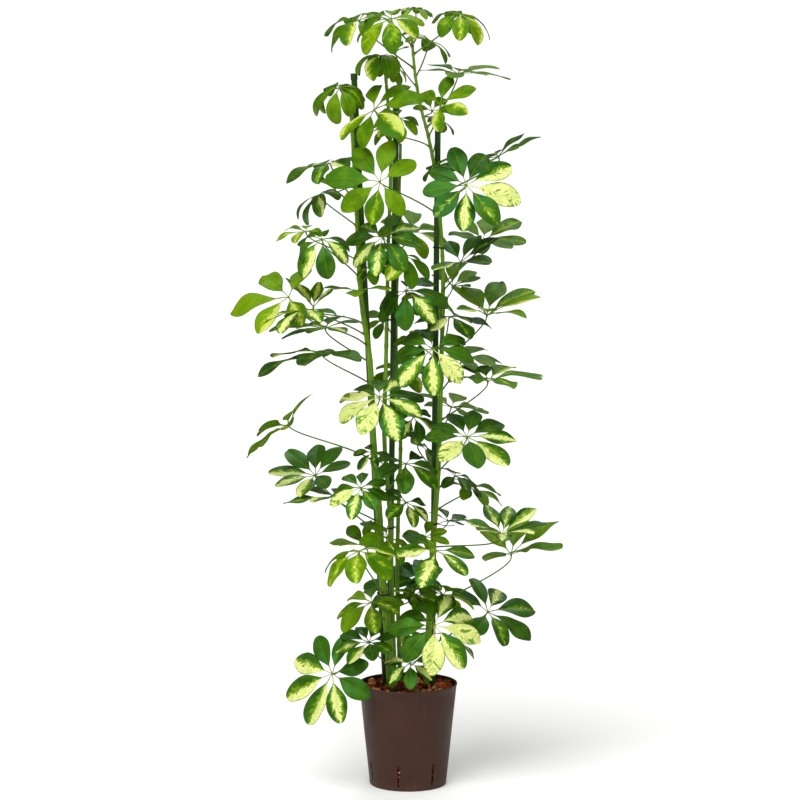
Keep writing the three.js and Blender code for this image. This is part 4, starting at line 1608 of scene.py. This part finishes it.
@dataclass
class Leaf:
    """One compound leaf: a petiole from its stem to a hub, and leaflets fanned round the hub."""

    stem: Stem
    row: tuple
    fused: bool
    node: str
    name: str
    shift: float = 0
    tone: float = 0
    depth_step: float = 6
    most_steps: int = 60

    def __post_init__(self) -> None:
        """Reads the row."""
        (self.base, x, y, z, turn, tilt, self.length, self.count, self.rise, self.droop, tint) = self.row
        self.middle = np.array((x, y, z), float)
        self.up = facing(turn, tilt)
        self.tint = Tint(tint)
        # The seed that the solid's leaflets were drawn with
        self.seed = abs(7 * x + 13 * z) + self.count
        self.draws = random.Random(self.seed)
        self.parts = self.leaflets()

    def leaflets(self) -> list[Leaflet]:
        """Draws the leaflets, those beside the petiole's gap shorter.

        Returns:
            The leaflets in their order round the hub.
        """
        draws = Draws(self.seed)
        step = LEAFLET_STEPS[self.count]
        parts = []
        for i in range(self.count):
            place = i - (self.count - 1) / 2
            angle = place * step + VARIETY.angle * draws.either()
            share = 1 - VARIETY.shorter * abs(place) * 2 / self.count
            length = self.length * share * (1 + VARIETY.length * draws.either())
            rise = self.rise + (1 if i % 2 else -1) * VARIETY.alternate + VARIETY.rise * draws.either()
            droop = self.droop * (1 + VARIETY.droop * draws.either())
            parts.append(Leaflet(angle, length, rise, droop, VARIETY.roll * draws.either(), step))
        return parts

    def hub(self, shift: float) -> Array:
        """Gives the hub when the leaf is moved in depth."""
        return self.middle + np.array((0, shift, 0))

    def axes(self, shift: float) -> tuple[Array, Array, Array, Array]:
        """Gives the leaf's directions when it is moved in depth.

        Args:
            shift: How far it is moved.

        Returns:
            The petiole's foot, its level direction there, and the hub's forward and sideways directions.
        """
        centre = self.stem.centre(self.base)
        flat = self.hub(shift) - centre
        flat[2] = 0
        level = unit(flat)
        foot = centre + level * (PETIOLE.sunk if self.fused else self.stem.radius(self.base) + PETIOLE.gap)
        forward = self.hub(shift) - foot
        forward = unit(forward - self.up * (forward @ self.up))
        return foot, level, forward, np.cross(self.up, forward)

    def tips(self, shift: float) -> list[Array]:
        """Gives the leaflets' tips when the leaf is moved in depth.

        Args:
            shift: How far it is moved.

        Returns:
            The tips.
        """
        _, _, forward, across = self.axes(shift)
        found = []
        for part in self.parts:
            out, up, _ = part.midrib(1.0)
            found.append(self.hub(shift) + swung(forward, across, part.angle) * out + self.up * up)
        return found

    def seat(self, tree: kdtree.KDTree) -> None:
        """Finds how far the solid leaf was moved in depth to stand clear of the others.

        Args:
            tree: The solid's corners, in millimetres.
        """
        steps = [s * k * self.depth_step for k in range(self.most_steps + 1) for s in (1, -1)]
        miss, self.shift = min((sum(tree.find(tip)[2] for tip in self.tips(s)), s) for s in steps)
        if miss > self.count:
            raise ValueError(f"{self.name} isn't where its solid is: {miss:.1f} mm over its tips")

    def petiole(self, skin: Skin) -> None:
        """Adds the petiole, its clasping foot and the small knob that carries the leaflets.

        Args:
            skin: The mesh that takes it.
        """
        foot, level, _, _ = self.axes(self.shift)
        hub = self.hub(self.shift)
        start = self.stem.smooth(np.array([float(self.base)]))[0]
        start = start + level * self.stem.radius(self.base) * PETIOLE.clasp
        knob = [hub + self.up * height for height in PETIOLE.knob]
        line = np.concatenate([[start], PETIOLE.curve(foot, level, hub, self.up)[1:], knob])
        skin.tube(line, PETIOLE.radii(line, self.length), PETIOLE.sides, 2)

    def cream_of(self, ray: Array) -> tuple[Pattern, float, float]:
        """Draws where a leaflet's cream lies.

        Args:
            ray: The way the leaflet points.

        Returns:
            The pattern, how much cream there is and the half that has more.
        """
        # Leaflets that point down get more cream, partly as painted light falling through them
        amount = self.draws.uniform(*CREAM_RANGES[self.tint]) - CREAM_AND_LIGHT_BY_SLOPE * ray[2]
        pattern = self.draws.choices(list(CREAM_WEIGHTS), list(CREAM_WEIGHTS.values()))[0]
        if amount < LEAST_CREAM:
            pattern = Pattern.PLAIN
        more = self.draws.choice((-1.0, 1.0))
        if self.node in CREAM_CLOCKS and not self.fused:
            hour = round(math.degrees(math.atan2(ray[0], ray[2])) / 30) % 12
            pattern, amount = CREAM_SHARES[CREAM_CLOCKS[self.node][hour - 1]]
            more = -1.0 if np.cross(self.up, ray)[2] > 0 else 1.0
        return pattern, amount, more

    def cream(self, ray: Array, s: Array, w: Array) -> Array:
        """Gives how much cream there is at each point of a leaflet's grid.

        Args:
            ray: The way the leaflet points.
            s: The points' shares of the length.
            w: Their shares of the half width.

        Returns:
            The cream: none of it near 0 and below, nothing but cream near 1 and above.
        """
        pattern, amount, more = self.cream_of(ray)
        foot, gain, edges, half, tip = CREAM_LEVELS[pattern]
        return foot + gain * amount + edges * np.abs(w) ** CREAM_EDGE + half * more * w + tip * s

    def relief(self, part: Leaflet, s: Array, w: Array, x: Array) -> Array:
        """Gives how high a blade stands over its middle line: folded along the midrib, waved at the edges.

        Args:
            part: The leaflet.
            s: The points' shares of the length.
            w: Their shares of the half width.
            x: Their distance from the midrib.

        Returns:
            The heights.
        """
        draws = self.draws
        fold = math.tan(math.radians(SHAPE.fold * draws.uniform(*VARIETY.fold)))
        start, count = draws.uniform(0, VARIETY.wave_start), draws.uniform(*VARIETY.wave_count)
        ripple = np.sin(2 * math.pi * count * s + start + SHAPE.wave_lag * w) * np.abs(w) ** SHAPE.wave_edge
        ripple = ripple * np.minimum(1, SHAPE.wave_rise * s) * (s < 1)
        folded = np.abs(x) * fold * (1 - SHAPE.flatten[0] * np.abs(w)) * (1 - SHAPE.flatten[1] * s)
        return folded + SHAPE.wave * part.length * draws.uniform(*VARIETY.wave) * ripple

    def spine(self, part: Leaflet, ray: Array) -> tuple[Array, Array, Array]:
        """Gives a blade's middle line.

        Args:
            part: The leaflet.
            ray: The way it points.

        Returns:
            The line's points, and the ways across and out of the upper face at each.
        """
        s = np.array(SHAPE.rows)[:, None]
        side = np.cross(self.up, ray)
        out, rise, slope = part.midrib(s)
        roll = math.radians(part.roll) * s
        normal = self.up * np.cos(slope) - ray * np.sin(slope)
        lateral = side * np.cos(roll) + normal * np.sin(roll)
        normal = normal * np.cos(roll) - side * np.sin(roll)
        bend = self.draws.uniform(-SHAPE.bend, SHAPE.bend) * part.length * s**2
        return self.hub(self.shift) + ray * out + self.up * rise + side * bend, lateral, normal

    def blade(self, skin: Skin, part: Leaflet) -> None:
        """Adds one leaflet with its short stalk.

        Args:
            skin: The mesh that takes it.
            part: The leaflet.
        """
        _, _, forward, across = self.axes(self.shift)
        ray = swung(forward, across, part.angle)
        centre, lateral, normal = (a[:, None] for a in self.spine(part, ray))
        room = 2 * part.midrib(SHAPE.widest)[0] * math.tan(math.radians(part.step / 2)) * SHAPE.fill
        half = min(part.length * SHAPE.width, room) / 2
        s, w = np.meshgrid(SHAPE.rows, SHAPE.columns, indexing="ij")
        x = w * SHAPE.half_width(s, half)
        height = self.relief(part, s, w, x)
        keel = SHAPE.keel * (SHAPE.keel_end - s) * np.exp(-x**2)
        middle = centre + lateral * x[..., None]
        top = middle + normal * (height + SHAPE.groove * keel * (s < 1))[..., None]
        low = middle + normal * (height - SHAPE.edge - keel)[..., None]
        cream = self.cream(ray, s, w)
        place = np.stack([x, s * part.length, np.full(x.shape, self.draws.uniform(0, VARIETY.place))], -1)
        rim = np.where(np.abs(w) == 1, 1.0, 0.0)
        grids = {"leaf_place": place, "leaf_cream": cream[..., None], "leaf_rim": rim[..., None]}
        values = {name: SHAPE.gather(grid, grid) for name, grid in grids.items()}
        tone = self.draws.uniform(*VARIETY.tone) + VARIETY.leaf_tone * self.tone
        skin.add(SHAPE.gather(top, low), LEAFLET_FACES, leaf_tone=tone, **values)

    def build(self) -> None:
        """Makes the leaf."""
        self.tone = self.draws.uniform(-1, 1)
        skin = Skin(leaf_place=3, leaf_cream=1, leaf_tone=1, leaf_rim=1)
        for part in self.parts:
            self.blade(skin, part)
        self.petiole(skin)
        sharp = np.concatenate(skin.values["leaf_rim"])[:, 0] > 0.5
        materials = [UPPER[self.tint].material(), UNDER[self.tint].material(), PETIOLE_SKIN.material()]
        settle(skin.piece(self.name, materials, sharp), self.node)


def solid_corners(node: str) -> kdtree.KDTree:
    """Gathers the corners of a solid.

    Args:
        node: The solid's name.

    Returns:
        A tree of them, in millimetres.
    """
    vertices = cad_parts[node].data.vertices
    tree = kdtree.KDTree(len(vertices))
    for v in vertices:
        tree.insert(v.co / MM, v.index)
    tree.balance()
    return tree


class Foliage:
    """All leaves, each where its solid stands."""

    def __init__(self, stems: dict[str, Stem]) -> None:
        """Reads the rows and finds each leaf's place.

        Args:
            stems: The stems by name.
        """
        self.leaves: list[Leaf] = []
        for name, rows in STEM_LEAVES.items():
            for k, row in enumerate(rows, 1):
                self.leaves.append(Leaf(stems[name], row, True, f"{name}_stem", f"{name}_stem_leaf_{k}"))
        counts = dict.fromkeys(stems, 0)
        for name, *row in LEAVES:
            counts[name] += 1
            node = f"{name}_leaf_{counts[name]}"
            self.leaves.append(Leaf(stems[name], tuple(row), False, node, node + "_fine"))
        trees = {node: solid_corners(node) for node in {leaf.node for leaf in self.leaves}}
        for leaf in self.leaves:
            leaf.seat(trees[leaf.node])

    def bases(self, stem: Stem) -> list[float]:
        """Gives the heights where a stem's leaves grow."""
        return [leaf.base for leaf in self.leaves if leaf.stem is stem]

    def build(self) -> None:
        """Makes every leaf."""
        for leaf in self.leaves:
            leaf.build()


@dataclass
class Studio:
    """A pale floor, soft pale light and the camera, all in metres."""

    eye: tuple[float, float, float] = (-0.015, -5.0, 1.25)
    pitch: float = 5.973
    focal_pixels: float = 2700
    frame_pixels: float = 800
    sensor: float = 36
    clip_end: float = 200
    floor_radius: float = 60
    floor_sides: int = 96
    sky: float = 0.19
    gloss: float = 0.1
    backdrop: float = 1.06

    def floor(self) -> None:
        """Makes the floor, level with the underside of the pot."""
        skin = Skin()
        ring = turned([(self.floor_radius / MM, 0)], self.floor_sides)[0]
        skin.add(ring, [(np.arange(self.floor_sides)[None], 0)])
        skin.piece("studio_floor", [FloorFinish().material()])

    def sun(self, name: str, turn: float, height: float, strength: float, spread: float) -> None:
        """Adds far soft light that falls evenly on plant and floor.

        Args:
            name: Its name.
            turn: Where it comes from, in degrees to the right of the front.
            height: How high it stands, in degrees.
            strength: Its strength.
            spread: How wide it looks from the plant, in degrees.
        """
        data = bpy.data.lights.new(name, "SUN")
        data.energy = strength
        data.angle = math.radians(spread)
        made = bpy.data.objects.new(name, data)
        made.rotation_euler = Vector(-facing(turn, height)).to_track_quat("-Z", "Y").to_euler()
        bpy.context.scene.collection.objects.link(made)

    def sky_light(self) -> None:
        """Lights everything evenly from a pale surround, which is seen as pale as the floor."""
        world = bpy.data.worlds.new("pale_surround")
        world.use_nodes = True
        nodes, link = world.node_tree.nodes, world.node_tree.links.new
        path, mirrored, seen = (nodes.new("ShaderNode" + kind) for kind in ("LightPath", "Mix", "Mix"))
        nodes["Background"].inputs["Color"].default_value = rgb("FFFFFF")
        mirrored.inputs["A"].default_value = self.sky
        mirrored.inputs["B"].default_value = self.gloss
        seen.inputs["B"].default_value = self.backdrop
        link(path.outputs["Is Glossy Ray"], mirrored.inputs["Factor"])
        link(path.outputs["Is Camera Ray"], seen.inputs["Factor"])
        link(mirrored.outputs["Result"], seen.inputs["A"])
        link(seen.outputs["Result"], nodes["Background"].inputs["Strength"])
        bpy.context.scene.world = world

    def camera(self) -> None:
        """Places the camera where the photograph was taken from."""
        data = bpy.data.cameras.new("camera")
        data.sensor_width = self.sensor
        data.lens = self.sensor * self.focal_pixels / self.frame_pixels
        data.clip_end = self.clip_end
        made = bpy.data.objects.new("camera", data)
        made.location = self.eye
        made.rotation_euler = (math.radians(90 - self.pitch), 0, 0)
        bpy.context.scene.collection.objects.link(made)
        bpy.context.scene.camera = made

    def build(self) -> None:
        """Makes the floor, the lamps, the surround and the camera."""
        self.floor()
        self.sun("key", turn=-24, height=50, strength=3.3, spread=50)
        self.sun("fill", turn=50, height=35, strength=0.4, spread=90)
        self.sun("back", turn=165, height=58, strength=1.2, spread=40)
        self.sky_light()
        self.camera()
        view = bpy.context.scene.view_settings
        view.view_transform = "Standard"
        view.look = "None"


def main() -> None:
    """Builds the plant and its studio in order."""
    logging.basicConfig(level=logging.INFO, format="%(message)s", stream=sys.stdout)
    pot = Pot()
    stems = {name: Stem(name, radii, line) for name, (radii, line) in STEM_LINES.items()}
    stakes = {name: Stake(name, foot, head) for name, (foot, head) in STAKE_LINES.items()}
    pot.build()
    level = Granules.level
    rods = [(stem.centre(level), stem.radius(level)) for stem in stems.values()]
    rods += [(stake.at(level), stake.radius) for stake in stakes.values()]
    Granules(pot, rods).build()
    foliage = Foliage(stems)
    for stem in stems.values():
        stem.build(foliage.bases(stem))
    for stake in stakes.values():
        stake.build()
    for name, (stem, stake, z, ends) in TIE_PLACES.items():
        Tie(name, stems[stem], stakes[stake], z, ends).build()
    foliage.build()
    Studio().build()


if __name__ == "__main__":
    main()
